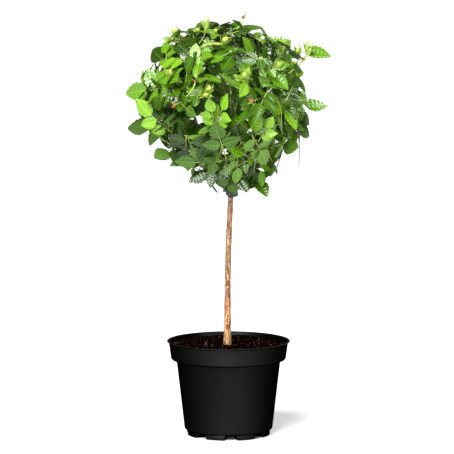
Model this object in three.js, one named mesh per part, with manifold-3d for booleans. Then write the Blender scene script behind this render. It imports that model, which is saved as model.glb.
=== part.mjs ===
// A standard rose: a leafy round head grafted on a slender bare stem, growing in a round nursery pot.
// Sizes are in millimetres, +Z is up, -Y is the side that faces the viewer, and the origin is the
// centre of the pot's underside.

import * as THREE from "three";
import { mergeVertices } from "three/addons/utils/BufferGeometryUtils.js";
import Module from "manifold-3d";

const wasm = await Module();
wasm.setup();

// Driving dimensions

const CLEARANCE = 0.3; // between solids that touch
const GOLDEN_ANGLE = Math.PI * (3 - Math.sqrt(5));
const UP = new THREE.Vector3(0, 0, 1);

const pot = {
  height: 178,
  rimRadius: 115,
  rimHeight: 3,
  collarHeight: 35,
  collarTopRadius: 113.6,
  collarBottomRadius: 108.4,
  bodyTopRadius: 97.8,
  bodyBottomRadius: 83.2,
  wall: 2,
  edge: 0.8, // how far edges are taken off
  heel: 5, // the curve where the wall turns into the floor
  footHeight: 9.5,
  footRadius: 78.5,
  footInnerRadius: 56,
  centreFootRadius: 18,
  notches: 8,
  notchTopWidth: 20.6,
  notchBottomWidth: 25,
  notchTurn: 3.5, // degrees, of the first notch from the front
  drainHoleRadius: 5,
  segments: 32,
};

const soil = {
  level: 169,
  lump: 4, // the height of its lumps
  smooth: 30, // no lumps within this radius of the trunk
  rows: [[88, 0], [46, 1.2]], // radius and rise of its top's inner rows
  footprintDepth: 2.4,
  segments: pot.segments,
};

const trunk = {
  points: [
    [-2, 0, soil.level - soil.footprintDepth + CLEARANCE],
    [-1.8, 0, 250],
    [-0.9, 0.6, 330],
    [1.6, 0.4, 395],
    [4.2, 0, 448],
  ],
  flareRadius: 8.2,
  footRadius: 7.1,
  headRadius: 5,
  knot: 0.28,
  sides: 12,
  steps: 14,
};

// The swollen graft, whose middle lies a seat's height above the stem's head
const union = { radius: 11, height: 27, seat: 11, sides: 12, lean: 12 };

const crown = {
  axisX: -7,
  heart: 600, // the height that its leaves face away from
  twigs: 36,
  depth: 0.66, // how far out the twigs end, as a share of the way from the heart
  fillings: 190, // places on the outside that are tried for further leaves
  fillingDepth: 0.86,
  waves: 2000,
  border: 10, // how far inside its mass's space a twig ends
};

// The crown's outside as [height, radius]: narrow round the graft, widest above the middle
const crownProfile = [
  [444, 0], [454, 34], [470, 72], [490, 100], [512, 126], [550, 146], [576, 184], [612, 194],
  [652, 192], [672, 174], [692, 157], [724, 142], [750, 132], [768, 106], [782, 56], [790, 0],
];

// Each ring of boughs, and the masses of leaves that they carry
const rings = [
  { name: "low", count: 3, azimuth: 30, centreRadius: 96, centreZ: 552, lift: 16, length: 0.42 },
  { name: "high", count: 3, azimuth: 90, centreRadius: 100, centreZ: 664, lift: 52, length: 0.3 },
  { name: "top", count: 1, azimuth: 0, centreRadius: 6, centreZ: 745, lift: 87, length: 0.3 },
];

const bough = { rootRadius: 3, tipRadius: 2.5, sides: 5, steps: 4 };
const stem = { tipRadius: 1.8, steps: 4 };
const twig = { rootRadius: 1.5, tipRadius: 1.3, leafEvery: 15, mostLeaves: 3, steps: 1 };
const leaf = {
  size: 47,
  youngSize: 38,
  youngAbove: 712,
  bare: 25, // no leaflet within this of a place: a further leaf grows there
  reach: 1.02, // the stalk's length, and the places of the leaflets along it, as shares of the size
  innerPair: 0.3,
  outerPair: 0.76,
  radius: 1.1,
  rootRadius: 0.6,
  spacing: 15,
  gap: 3.5,
  attempts: 9,
  squeezed: 0.8, // the share of its size that a leaf keeps where room is short
  smallest: 26,
  largest: 60,
};
const blade = { width: 0.6, fold: 0.1, keel: 1.5, droop: 0.12 };
const bud = { sepals: 4, radius: 5.4, height: 15, stalkRadius: 1.3, sepalSpread: 8.5, sepalRise: 16 };

// Tips of the flower shoots that stand out of the head, those in front first
const budTips = [
  [-93, 24, 767], [-42, -30, 786], [-12, -88, 764], [27, 12, 792], [93, 8, 752], [146, 4, 741],
  [84, -92, 720], [34, -132, 704], [-40, -146, 676], [-108, -80, 703],
  [62, 92, 752], [-50, 96, 757], [-104, 66, 724], [116, 88, 704],
];

// Tips of the leaves that reach out furthest, round the outline first and then at the back
const leafTips = [
  [-137, 10, 732], [-196, -12, 645], [-189, -24, 575], [-134, -40, 527], [-76, -50, 484],
  [38, -62, 466], [74, -36, 456], [131, -24, 512], [160, -14, 573], [189, 4, 619], [190, 2, 710],
  [64, 24, 772], [-112, 46, 507], [70, 168, 640], [-80, 170, 606], [20, 128, 505], [120, 130, 560],
];

// Tools for closed meshes

function weld(geometry) {
  const bare = geometry.clone();
  bare.deleteAttribute("normal");
  bare.deleteAttribute("uv");
  return mergeVertices(bare, 1e-4);
}

function solidOf(geometry) {
  const merged = weld(geometry);
  return new wasm.Manifold(
    new wasm.Mesh({
      numProp: 3,
      vertProperties: merged.attributes.position.array,
      triVerts: new Uint32Array(merged.index.array),
    }),
  );
}

function geometryOf(solid) {
  const mesh = solid.getMesh();
  const position = new Float32Array(mesh.numVert * 3);
  for (let i = 0; i < mesh.numVert; i++) {
    const from = i * mesh.numProp;
    position.set(mesh.vertProperties.subarray(from, from + 3), i * 3);
  }
  const geometry = new THREE.BufferGeometry();
  geometry.setAttribute("position", new THREE.BufferAttribute(position, 3));
  geometry.setIndex(new THREE.BufferAttribute(mesh.triVerts, 1));
  geometry.computeVertexNormals();
  return geometry;
}

// Joins solids into one body: the largest shell is kept, so sealed hollows fill and scraps drop.
function fuse(solids) {
  const bodies = wasm.Manifold.union(solids).simplify(0.03).decompose();
  return bodies.reduce((best, body) => (body.volume() > best.volume() ? body : best));
}

// A round profile of [radius, height] points about the vertical axis
function turned(profile, segments) {
  const points = profile.map(([radius, height]) => new THREE.Vector2(radius, height));
  return new THREE.LatheGeometry(points, segments).rotateX(Math.PI / 2);
}

// Unit vectors square to a curve at each step, carried along it without twist
function framesAlong(curve, steps) {
  const frames = [];
  let side = null;
  for (let i = 0; i <= steps; i++) {
    const along = curve.getTangent(i / steps).normalize();
    const upright = Math.abs(along.z) > 0.9;
    side ??= new THREE.Vector3(upright ? 1 : 0, 0, upright ? 0 : 1);
    side = side.clone().addScaledVector(along, -side.dot(along)).normalize();
    frames.push({ at: curve.getPoint(i / steps), side, across: side.clone().cross(along) });
  }
  return frames;
}

// A curve made of straight stretches, so that what grows on a limb starts on its real axis
class Bends extends THREE.Curve {
  constructor(curve, steps) {
    super();
    this.source = curve;
    this.points = curve.getPoints(steps);
  }

  getTangent(share, target) {
    return this.source.getTangent(share, target);
  }

  getPoint(share, target = new THREE.Vector3()) {
    const place = Math.min(share, 0.99999) * (this.points.length - 1);
    const k = Math.floor(place);
    return target.lerpVectors(this.points[k], this.points[k + 1], place - k);
  }

  stretches() {
    return this.points.slice(1).map((point, i) => [this.points[i], point]);
  }
}

// A closed tapering limb along a curve
function limb(curve, radiusAt, sides, steps) {
  const geometry = new THREE.CylinderGeometry(1, 1, 1, sides, steps);
  const frames = framesAlong(curve, steps);
  const position = geometry.attributes.position;
  for (let i = 0; i < position.count; i++) {
    const share = position.getY(i) + 0.5;
    const { at, side, across } = frames[Math.round(share * steps)];
    const radius = radiusAt(share);
    const point = at
      .clone()
      .addScaledVector(side, position.getX(i) * radius)
      .addScaledVector(across, position.getZ(i) * radius);
    position.setXYZ(i, point.x, point.y, point.z);
  }
  return geometry;
}

const taper = (root, tip) => (share) => root + (tip - root) * share;

// Seeded draws: the same seed always gives the same row of numbers
function dice(seed) {
  let state = Math.imul(seed + 1, 2654435761) >>> 0;
  return (low, high) => {
    state = (state + 0x6d2b79f5) >>> 0;
    let mixed = Math.imul(state ^ (state >>> 15), state | 1);
    mixed ^= mixed + Math.imul(mixed ^ (mixed >>> 7), mixed | 61);
    return low + ((high - low) * ((mixed ^ (mixed >>> 14)) >>> 0)) / 4294967296;
  };
}

function direction(azimuth, elevation) {
  const turn = THREE.MathUtils.degToRad(azimuth);
  const lift = THREE.MathUtils.degToRad(elevation);
  return new THREE.Vector3(
    Math.cos(lift) * Math.cos(turn),
    Math.cos(lift) * Math.sin(turn),
    Math.sin(lift),
  );
}

// Pot and soil

function makePot() {
  const { height, wall, edge, heel, footHeight, footRadius } = pot;
  const collarZ = height - pot.collarHeight;
  const footTop = footHeight + wall / 2; // inside the floor, so that feet and floor join
  const shell = turned(
    [
      [0, footHeight],
      [footRadius + edge, footHeight],
      [pot.bodyBottomRadius - heel / 4, footHeight + heel / 3],
      [pot.bodyBottomRadius, footHeight + heel],
      [pot.bodyTopRadius, collarZ],
      [pot.collarBottomRadius - 2 * edge, collarZ],
      [pot.collarBottomRadius, collarZ + 2 * edge],
      [pot.collarTopRadius, height - pot.rimHeight],
      [pot.rimRadius, height - pot.rimHeight + edge],
      [pot.rimRadius, height - edge],
      [pot.rimRadius - edge, height],
      [pot.collarTopRadius - wall, height],
      [pot.collarBottomRadius - wall, collarZ + wall],
      [pot.bodyTopRadius - wall, collarZ + wall],
      [pot.bodyBottomRadius - wall, footHeight + heel],
      [pot.bodyBottomRadius - wall - heel + 2, footHeight + wall],
      [0, footHeight + wall],
    ],
    pot.segments,
  );
  const footRing = turned(
    [
      [pot.footInnerRadius, 0],
      [footRadius - 2 * edge, 0],
      [footRadius, 2 * edge],
      [footRadius, footTop],
      [pot.footInnerRadius, footTop],
      [pot.footInnerRadius, 0],
    ],
    pot.segments,
  );
  const centreFoot = new THREE.CylinderGeometry(
    pot.centreFootRadius, pot.centreFootRadius, footTop, pot.segments / 2,
  )
    .rotateX(Math.PI / 2)
    .translate(0, 0, footTop / 2);

  const notchShape = new THREE.Shape([
    new THREE.Vector2(-pot.notchBottomWidth / 2, -1),
    new THREE.Vector2(pot.notchBottomWidth / 2, -1),
    new THREE.Vector2(pot.notchTopWidth / 2, footTop + 1),
    new THREE.Vector2(-pot.notchTopWidth / 2, footTop + 1),
  ]);
  const notchDepth = 1.4 * (footRadius - pot.footInnerRadius);
  let feet = solidOf(footRing);
  let shellSolid = solidOf(shell);
  for (let i = 0; i < pot.notches; i++) {
    const turn = THREE.MathUtils.degToRad(pot.notchTurn) + (i * 2 * Math.PI) / pot.notches;
    const notch = new THREE.ExtrudeGeometry(notchShape, { depth: notchDepth, bevelEnabled: false })
      .rotateX(Math.PI / 2)
      .translate(0, -(pot.footInnerRadius - 2), 0)
      .rotateZ(turn);
    const hole = new THREE.CylinderGeometry(pot.drainHoleRadius, pot.drainHoleRadius, 3 * wall, 8)
      .rotateX(Math.PI / 2)
      .translate(0, -(pot.footInnerRadius + footRadius) / 2, footHeight + wall / 2)
      .rotateZ(turn);
    feet = feet.subtract(solidOf(notch));
    shellSolid = shellSolid.subtract(solidOf(hole));
  }
  return geometryOf(wasm.Manifold.union([shellSolid, feet, solidOf(centreFoot)]));
}

function makeSoil(trunkSolid) {
  const draw = dice(7);
  const { wall, heel, footHeight } = pot;
  const inside = wall + CLEARANCE;
  const collarZ = pot.height - pot.collarHeight;
  const edge = pot.collarBottomRadius
    + ((pot.collarTopRadius - pot.collarBottomRadius) * (soil.level - collarZ)) / pot.collarHeight;
  const plug = turned(
    [
      [0, footHeight + inside],
      [pot.bodyBottomRadius - inside - heel + 1.8, footHeight + inside],
      [pot.bodyBottomRadius - inside, footHeight + heel + 0.2],
      [pot.bodyTopRadius - inside, collarZ + inside],
      [pot.collarBottomRadius - inside - 0.1, collarZ + inside],
      [edge - inside - 0.4, soil.level - 3],
      ...soil.rows.map(([radius, rise]) => [radius, soil.level + rise]),
      [0, soil.level + soil.lump / 2],
    ],
    soil.segments,
  );
  // The top is lumpy: each vertex of it away from the rim and the trunk is raised or lowered.
  const geometry = weld(plug);
  const position = geometry.attributes.position;
  for (let i = 0; i < position.count; i++) {
    const radius = Math.hypot(position.getX(i), position.getY(i));
    if (position.getZ(i) < soil.level - 0.5 || radius < soil.smooth) continue;
    position.setZ(i, position.getZ(i) + draw(-0.4, 0.7) * soil.lump);
  }
  return geometryOf(solidOf(geometry).subtract(trunkSolid));
}

// Trunk, graft and boughs

const trunkCurve = new THREE.CatmullRomCurve3(trunk.points.map((p) => new THREE.Vector3(...p)));
const unionCentre = new THREE.Vector3(...trunk.points.at(-1)).add(new THREE.Vector3(0.6, 0, union.seat));

// A true taper with a short flare at the soil and faint swellings where leaves once grew
function trunkRadiusAt(share) {
  const flare = (trunk.flareRadius - trunk.footRadius) * Math.exp(-share * 28);
  const knots = trunk.knot * Math.sin(share * 47) * Math.sin(share * 19);
  return trunk.footRadius + (trunk.headRadius - trunk.footRadius) * share ** 0.7 + flare + knots;
}

// The foot is cut level. A grown trunk, which cuts the sockets, is longer at both ends too.
function makeTrunk(grow = 0) {
  const geometry = limb(trunkCurve, (share) => trunkRadiusAt(share) + grow, trunk.sides, trunk.steps);
  const position = geometry.attributes.position;
  const [foot, head] = [0, 1].map((share) => trunkCurve.getPoint(share).z);
  for (let i = 0; i < position.count; i++) {
    const z = position.getZ(i);
    if (z < foot + 1) position.setZ(i, foot - grow);
    if (z > head - 1) position.setZ(i, z + grow);
  }
  return geometry;
}

function makeUnion(grow = 0) {
  const profile = [];
  const rows = 7;
  for (let i = 0; i <= rows; i++) {
    const turn = (i / rows) * Math.PI;
    const swell = 1 + 0.08 * Math.sin(i * 2.1);
    profile.push([
      i % rows === 0 ? 0 : (union.radius * swell + grow) * Math.sin(turn) ** 0.8,
      -(union.height / 2 + grow) * Math.cos(turn),
    ]);
  }
  return turned(profile, union.sides)
    .rotateY(THREE.MathUtils.degToRad(union.lean))
    .translate(unionCentre.x, unionCentre.y, unionCentre.z);
}

const masses = rings.flatMap((ring) =>
  Array.from({ length: ring.count }, (_, i) => {
    const azimuth = ring.azimuth + (i * 360) / ring.count;
    const centre = direction(azimuth, 0).multiplyScalar(ring.centreRadius);
    centre.add(new THREE.Vector3(crown.axisX, 0, ring.centreZ));
    return { name: `${ring.name}_${i + 1}`, ring, azimuth, centre, phase: azimuth / 20 + ring.centreZ };
  }),
);

// A mass's own space is all that is nearer to its centre than to another. Gentle waves in that
// measure bend the borders, so that no straight lane runs through the head.
function nearness(point, { centre, phase }) {
  const { x, y, z } = point;
  const wave = Math.sin(x / 17 + phase) + Math.sin(y / 15 + 2 * phase) + Math.sin(z / 16 + 3 * phase);
  return point.distanceToSquared(centre) + crown.waves * wave;
}

function depthInSpace(point, mass) {
  const own = nearness(point, mass);
  return Math.min(
    ...masses
      .filter((other) => other !== mass)
      .map((other) => (nearness(point, other) - own) / (2 * mass.centre.distanceTo(other.centre))),
  );
}

function crownRadiusAt(z) {
  const upper = crownProfile.findIndex(([height]) => height > z);
  if (upper < 1) return 0;
  const [[lowZ, lowRadius], [highZ, highRadius]] = crownProfile.slice(upper - 1, upper + 1);
  return lowRadius + ((highRadius - lowRadius) * (z - lowZ)) / (highZ - lowZ);
}

const insideCrown = (point) => Math.hypot(point.x - crown.axisX, point.y) < crownRadiusAt(point.z);

function boughCurve(mass) {
  let share = mass.ring.length;
  const entry = () => unionCentre.clone().lerp(mass.centre, share);
  while (depthInSpace(entry(), mass) < 6 && share < 0.9) share += 0.02;
  const end = entry();
  const away = direction(mass.azimuth, mass.ring.lift);
  const length = unionCentre.distanceTo(end);
  return new THREE.QuadraticBezierCurve3(
    unionCentre.clone(),
    unionCentre.clone().addScaledVector(away, 0.5 * length),
    end,
  );
}

for (const mass of masses) mass.bough = boughCurve(mass);

// Round markers along every limb, which leaves and twigs keep clear of
const limbMarkers = [
  ...trunkCurve.getSpacedPoints(60).map((at) => ({ at, radius: trunk.footRadius + 2 })),
  { at: unionCentre, radius: union.radius + 5 },
  ...masses.flatMap(({ bough: curve }) =>
    curve.getPoints(30).map((at) => ({ at, radius: bough.rootRadius + 2 })),
  ),
];

const touchesLimb = (point) =>
  limbMarkers.some(({ at, radius }) => point.distanceToSquared(at) < radius * radius);

// Leaves

// A leaflet lies along one direction and faces another; its blade folds up a little from the midrib.
function makeLeaflet(base, along, facing, length) {
  const axis = along.clone().normalize();
  const normal = facing.clone().addScaledVector(axis, -facing.dot(axis)).normalize();
  return { base, axis, normal, side: axis.clone().cross(normal), length };
}

function onBlade({ base, axis, normal, side, length }, forward, sideways, up) {
  return base
    .clone()
    .addScaledVector(axis, forward * length)
    .addScaledVector(side, sideways * length)
    .addScaledVector(normal, up * length);
}

// Points all over a blade, for testing what it would touch
function bladePoints(leaflet) {
  const points = [];
  for (const forward of [0.12, 0.3, 0.48, 0.66, 0.84, 1]) {
    const half = 0.5 * blade.width * Math.sin(Math.PI * Math.min(1, forward * 0.92 + 0.08)) ** 0.8;
    for (const share of [-1, -0.5, 0, 0.5, 1]) {
      const drop = blade.droop * forward ** 2;
      points.push(onBlade(leaflet, forward, share * half, blade.fold * Math.abs(share) - drop));
    }
  }
  return points;
}

// The corners of a blade past its base: two on the right, the tip and two on the left
function corners(leaflet) {
  const half = blade.width / 2;
  const { fold, droop } = blade;
  return [
    onBlade(leaflet, 0.26, half * 0.92, fold),
    onBlade(leaflet, 0.66, half * 0.84, fold - droop * 0.4),
    onBlade(leaflet, 1, 0, -droop),
    onBlade(leaflet, 0.66, -half * 0.84, fold - droop * 0.4),
    onBlade(leaflet, 0.26, -half * 0.92, fold),
  ];
}

const keelOf = (leaflet) => onBlade(leaflet, 0.42, 0, -blade.keel / leaflet.length - blade.droop * 0.42);

// A compound leaf: a thin stalk with leaflets in pairs and one at its end
function makeLeaf(base, along, facing, size) {
  const normal = facing.clone().addScaledVector(along, -facing.dot(along)).normalize();
  const side = along.clone().cross(normal);
  const onStalk = (distance, sideways, up, radius = leaf.radius) =>
    base
      .clone()
      .addScaledVector(along, distance)
      .addScaledVector(side, sideways * radius)
      .addScaledVector(normal, up * radius);
  // The left, right and lower corners of the stalk at a distance from its root
  const cornersAt = (distance, radius = leaf.radius) => [
    onStalk(distance, -0.95, 0.5, radius),
    onStalk(distance, 0.95, 0.5, radius),
    onStalk(distance, 0, -1.1, radius),
  ];
  const pair = (distance, scale) => ({
    stations: [cornersAt(distance - 1.2), cornersAt(distance + 1.2)],
    leaflets: [-1, 1].map((hand) => {
      const out = along.clone().multiplyScalar(0.42).addScaledVector(side, hand * 0.91);
      const tilt = normal.clone().addScaledVector(side, -0.2 * hand);
      return makeLeaflet(onStalk(distance, 0.95 * hand, 0.5), out, tilt, size * scale);
    }),
  });
  const reach = leaf.reach * size;
  return {
    root: cornersAt(0, leaf.rootRadius),
    pairs: [pair(leaf.innerPair * size, 0.72), pair(leaf.outerPair * size, 0.86)],
    top: cornersAt(reach),
    end: makeLeaflet(onStalk(reach, 0, 0.5), along, normal, size),
    stalk: [base, onStalk(reach, 0, 0)],
  };
}

const leafletsOf = ({ end, pairs }) => [end, ...pairs.flatMap((pair) => pair.leaflets)].filter(Boolean);

// A whole leaf as one closed mesh: the flanks of its three-sided stalk open out into the leaflets.
function leafSolid({ root, pairs, top, end }) {
  const triangles = [];
  const quad = (a, b, c, d) => triangles.push([a, b, c], [a, c, d]);
  // The upper face spreads from two corners of the stalk, and the lower faces meet at the keel.
  const open = (leaflet, from, to, under) => {
    const [right1, right2, tip, left2, left1] = corners(leaflet);
    triangles.push([to, right1, right2], [to, right2, tip], [from, to, tip]);
    triangles.push([from, tip, left2], [from, left2, left1]);
    const keel = keelOf(leaflet);
    const loop = [right1, to, ...under, from, left1, left2, tip, right2];
    loop.forEach((corner, i) => triangles.push([corner, loop[(i + 1) % loop.length], keel]));
  };
  const stretch = ([left1, right1, under1], [left2, right2, under2], [leftLeaflet, rightLeaflet] = []) => {
    quad(left1, right1, right2, left2);
    if (rightLeaflet) open(rightLeaflet, right2, right1, [under1, under2]);
    else quad(right2, right1, under1, under2);
    if (leftLeaflet) open(leftLeaflet, left1, left2, [under2, under1]);
    else quad(left1, left2, under2, under1);
  };
  let from = root;
  for (const { stations, leaflets } of pairs.filter((pair) => pair.leaflets.some(Boolean))) {
    stretch(from, stations[0]);
    stretch(stations[0], stations[1], leaflets);
    from = stations[1];
  }
  stretch(from, top);
  triangles.push([root[1], root[0], root[2]]);
  open(end, top[0], top[1], [top[2]]);
  return solidOf(new THREE.BufferGeometry().setFromPoints(triangles.flat()));
}

// What has grown so far: every leaflet, and every stretch of twig or leaf stalk
const placed = { leaflets: [], stalks: [] };

function pierces([from, to], [a, b, c]) {
  const length = from.distanceTo(to);
  const ray = new THREE.Ray(from, to.clone().sub(from).divideScalar(length));
  const hit = ray.intersectTriangle(a, b, c, false, new THREE.Vector3());
  return hit !== null && hit.distanceTo(from) < length;
}

// A blade's middle, its outline and the faces it covers, for the tests against other blades
function sheetOf(leaflet) {
  const outline = corners(leaflet);
  const { base } = leaflet;
  const [right1, right2, tip, left2, left1] = outline;
  const ring = [base, right1, right2, tip, left2, left1, base, keelOf(leaflet), tip];
  return {
    middle: onBlade(leaflet, 0.5, 0, 0),
    reach: leaflet.length * 0.55,
    edges: ring.slice(1).map((corner, i) => [ring[i], corner]),
    faces: [[base, right1, right2], [base, right2, tip], [base, tip, left2], [base, left2, left1]],
  };
}

function crossesSheet(one, other) {
  const apart = one.middle.distanceTo(other.middle);
  if (apart < leaf.spacing) return true;
  if (apart > one.reach + other.reach) return false;
  const cuts = (edges, faces) => edges.some((edge) => faces.some((face) => pierces(edge, face)));
  return cuts(one.edges, other.faces) || cuts(other.edges, one.faces);
}

function crossesStalk(sheet, stalk) {
  const reach = sheet.reach + stalk[0].distanceTo(stalk[1]);
  return stalk[0].distanceTo(sheet.middle) < reach && sheet.faces.some((face) => pierces(stalk, face));
}

// Whether a leaf's stalk passes close by a stretch of twig or stalk
function nearStalk([from, to], [start, end]) {
  const stretch = new THREE.Line3(start, end);
  return [0.05, 0.2, 0.4, 0.7, 1].some((share) => {
    const point = from.clone().lerp(to, share);
    const nearest = stretch.closestPointToPoint(point, true, new THREE.Vector3());
    return point.distanceTo(nearest) < leaf.gap;
  });
}

function fits(leaflet, mass, within) {
  const clear = bladePoints(leaflet).every(
    (point) => within(point) && depthInSpace(point, mass) > 1 && !touchesLimb(point),
  );
  if (!clear) return false;
  leaflet.sheet = sheetOf(leaflet);
  return !(
    placed.leaflets.some((other) => crossesSheet(leaflet.sheet, other)) ||
    placed.stalks.some((stalk) => crossesStalk(leaflet.sheet, stalk))
  );
}

const crownHeart = new THREE.Vector3(crown.axisX, 0, crown.heart);
const outwardAt = (point) => point.clone().sub(crownHeart).normalize();

const wander = (draw, share) =>
  new THREE.Vector3(draw(-1, 1), draw(-1, 1), draw(-1, 1)).multiplyScalar(share);

// Leaves face away from the trunk and up, towards the light.
function facingAt(point, draw) {
  const away = point.clone().sub(crownHeart).setZ(0).normalize();
  return away.multiplyScalar(0.8).addScaledVector(UP, 0.5).add(wander(draw, 0.35)).normalize();
}

// Directions round a twig, in golden-angle steps, that lean outward and hang a little
function directionsRound(at, turn) {
  const outward = outwardAt(at);
  const first = new THREE.Vector3(1, 0, 0).cross(outward).normalize();
  const second = outward.clone().cross(first).normalize();
  return Array.from({ length: leaf.attempts }, (_, i) =>
    first
      .clone()
      .multiplyScalar(Math.cos(turn + i * GOLDEN_ANGLE))
      .addScaledVector(second, Math.sin(turn + i * GOLDEN_ANGLE))
      .addScaledVector(outward, 0.42)
      .addScaledVector(UP, -0.12)
      .normalize(),
  );
}

// Of several directions, the one in which a leaf keeps most of its leaflets
function growLeaf(at, directions, size, mass, draw, fewest, within = insideCrown) {
  const facing = facingAt(at, draw);
  let best = null;
  directions.forEach((along, i) => {
    if (best?.kept.length === 5) return;
    const late = 2 * i > directions.length;
    const trial = makeLeaf(at, along, facing, size * (late ? leaf.squeezed : 1));
    if (placed.leaflets.some((sheet) => crossesStalk(sheet, trial.stalk))) return;
    if (placed.stalks.filter((other) => nearStalk(trial.stalk, other)).length > 1) return;
    if (!fits(trial.end, mass, within)) return;
    for (const pair of trial.pairs) {
      pair.leaflets = pair.leaflets.map((leaflet) => (fits(leaflet, mass, within) ? leaflet : null));
    }
    trial.kept = leafletsOf(trial);
    if (trial.kept.length > (best?.kept.length ?? fewest - 1)) best = trial;
  });
  if (!best) return false;
  placed.leaflets.push(...best.kept.map(({ sheet }) => sheet));
  placed.stalks.push(best.stalk);
  mass.leaves.push(best);
  return true;
}

// Masses of leaves

const clearOfLimbs = (curve, mass, from) =>
  curve.getPoints(10).every(
    (point, i) =>
      i < from || (insideCrown(point) && depthInSpace(point, mass) > 1.5 && !touchesLimb(point)),
  );

// Points spread evenly over the crown's outside: rows are closer where the outside lies flatter.
const shell = (() => {
  const [tops, areas] = [[], []];
  crownProfile.slice(1).forEach(([z, radius], i) => {
    const [lowZ, lowRadius] = crownProfile[i];
    areas.push((areas.at(-1) ?? 0) + Math.hypot(z - lowZ, radius - lowRadius) * (radius + lowRadius));
    tops.push([lowZ, lowRadius, z, radius]);
  });
  return { tops, areas };
})();

function shellPoint(i, count, depth) {
  const wanted = ((i + 0.5) / count) * shell.areas.at(-1);
  const row = shell.areas.findIndex((area) => area > wanted);
  const below = shell.areas[row - 1] ?? 0;
  const [lowZ, lowRadius, highZ, highRadius] = shell.tops[row];
  const share = (wanted - below) / (shell.areas[row] - below);
  const radius = THREE.MathUtils.lerp(lowRadius, highRadius, share);
  const turn = i * GOLDEN_ANGLE;
  const outside = new THREE.Vector3(
    crown.axisX + radius * Math.cos(turn),
    radius * Math.sin(turn),
    THREE.MathUtils.lerp(lowZ, highZ, share),
  );
  const upper = Math.max(0, (outside.z - crown.heart - 40) / 150);
  return crownHeart.clone().lerp(outside, depth + (0.94 - depth) * 0.6 * upper);
}

const twigEnds = Array.from({ length: crown.twigs }, (_, i) => shellPoint(i, crown.twigs, crown.depth));

function stemCurve(mass) {
  const start = mass.bough.getPoint(1);
  const tangent = mass.bough.getTangent(1).normalize();
  start.addScaledVector(tangent, CLEARANCE);
  const away = mass.centre.clone().sub(new THREE.Vector3(crown.axisX, 0, crown.heart - 40));
  const outside = mass.centre.clone();
  while (insideCrown(outside)) outside.addScaledVector(away, 0.02);
  const end = start.clone().lerp(outside, 0.66);
  const bend = start.clone().addScaledVector(tangent, 0.45 * start.distanceTo(end));
  return new THREE.QuadraticBezierCurve3(start, bend, end);
}

// A twig leaves the stem some way below the point that lies nearest to its end.
function twigCurve(mainStem, end, back) {
  const shares = Array.from({ length: 41 }, (_, i) => i / 40);
  const near = shares.reduce((best, share) =>
    mainStem.getPoint(share).distanceTo(end) < mainStem.getPoint(best).distanceTo(end) ? share : best,
  );
  const distance = mainStem.getPoint(near).distanceTo(end);
  const share = THREE.MathUtils.clamp(near - (back * distance) / mainStem.getLength(), 0.04, 0.94);
  const root = mainStem.getPoint(share);
  const tangent = mainStem.getTangent(share).normalize();
  const bend = root.clone().lerp(end, 0.5).addScaledVector(tangent, 0.14 * distance);
  return new Bends(new THREE.QuadraticBezierCurve3(root, bend, end), twig.steps);
}

// A twig towards a place, if one of several starts along the stem keeps it in the mass's space
function growTwig(mass, end) {
  const curve = [0.5, 0.3, 0.75, 0.1, 1]
    .map((back) => twigCurve(mass.mainStem, end, back))
    .find((trial) => trial.getLength() > 18 && clearOfLimbs(trial, mass, 3));
  const crossed = placed.leaflets.some((sheet) =>
    curve?.stretches().some((part) => crossesStalk(sheet, part)),
  );
  return crossed ? null : curve;
}

function keepTwig(mass, curve) {
  mass.limbs.push({ curve, root: twig.rootRadius, tip: twig.tipRadius, steps: twig.steps });
  placed.stalks.push(...curve.stretches());
}

function growLimbs(mass) {
  mass.mainStem = new Bends(stemCurve(mass), stem.steps);
  placed.stalks.push(...mass.mainStem.stretches());
  mass.leaves = [];
  mass.buds = [];
  mass.limbs = [{ curve: mass.mainStem, root: bough.tipRadius, tip: stem.tipRadius, steps: stem.steps }];
  for (const end of twigEnds) {
    if (depthInSpace(end, mass) < 0 || touchesLimb(end)) continue;
    const inside = end.clone();
    while (depthInSpace(inside, mass) < crown.border) inside.lerp(mass.centre, 0.06);
    const curve = growTwig(mass, inside);
    if (curve) keepTwig(mass, curve);
  }
}

const sizeAt = (point, draw) => draw(0.86, 1.1) * (point.z > leaf.youngAbove ? leaf.youngSize : leaf.size);

// A leaf whose tip reaches a place outside the head, from the twig or flower shoot at a fit distance
function growReachingLeaf(tip, i) {
  const draw = dice(40000 + i);
  const mass = masses.find((candidate) => depthInSpace(tip, candidate) > 0);
  const roots = [...mass.limbs.map(({ curve }) => curve), ...mass.buds]
    .flatMap((curve) => [0.36, 0.48, 0.6, 0.72, 0.84, 0.95].map((share) => curve.getPoint(share)))
    .map((root) => {
      const size = root.distanceTo(tip) / (leaf.reach + 1);
      const level = Math.max(0, tip.z + leaf.size - root.z);
      return { root, size, cost: Math.abs(size - leaf.size) + level };
    })
    .filter(({ size }) => size > leaf.smallest && size < leaf.largest)
    .sort((one, other) => one.cost - other.cost);
  roots.some(({ root, size }) => {
    const along = tip.clone().sub(root).normalize();
    return growLeaf(root, [along], size, mass, draw, 2, () => true);
  });
}

// The first leaves spread from the outer part of every twig.
function growFirstLeaves(mass, index) {
  mass.limbs.forEach(({ curve }, i) => {
    const length = curve.getLength();
    const count = Math.min(twig.mostLeaves, Math.max(2, Math.round(length / twig.leafEvery) - 1));
    for (let k = 0; k < count; k++) {
      const draw = dice(1000 * index + 20 * i + k);
      const share = 1 - (k * twig.leafEvery + 3) / length;
      if (share < 0.2) continue;
      const at = curve.getPoint(share);
      growLeaf(at, directionsRound(at, draw(0, 7)), sizeAt(at, draw), mass, draw, 4);
    }
  });
}

function growLeafTowards(mass, root, target, size, draw) {
  const along = target.clone().sub(root).normalize();
  const spread = Array.from({ length: 5 }, () => along.clone().add(wander(draw, 0.35)).normalize());
  return growLeaf(root, [along, ...spread], size, mass, draw, 3);
}

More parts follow.
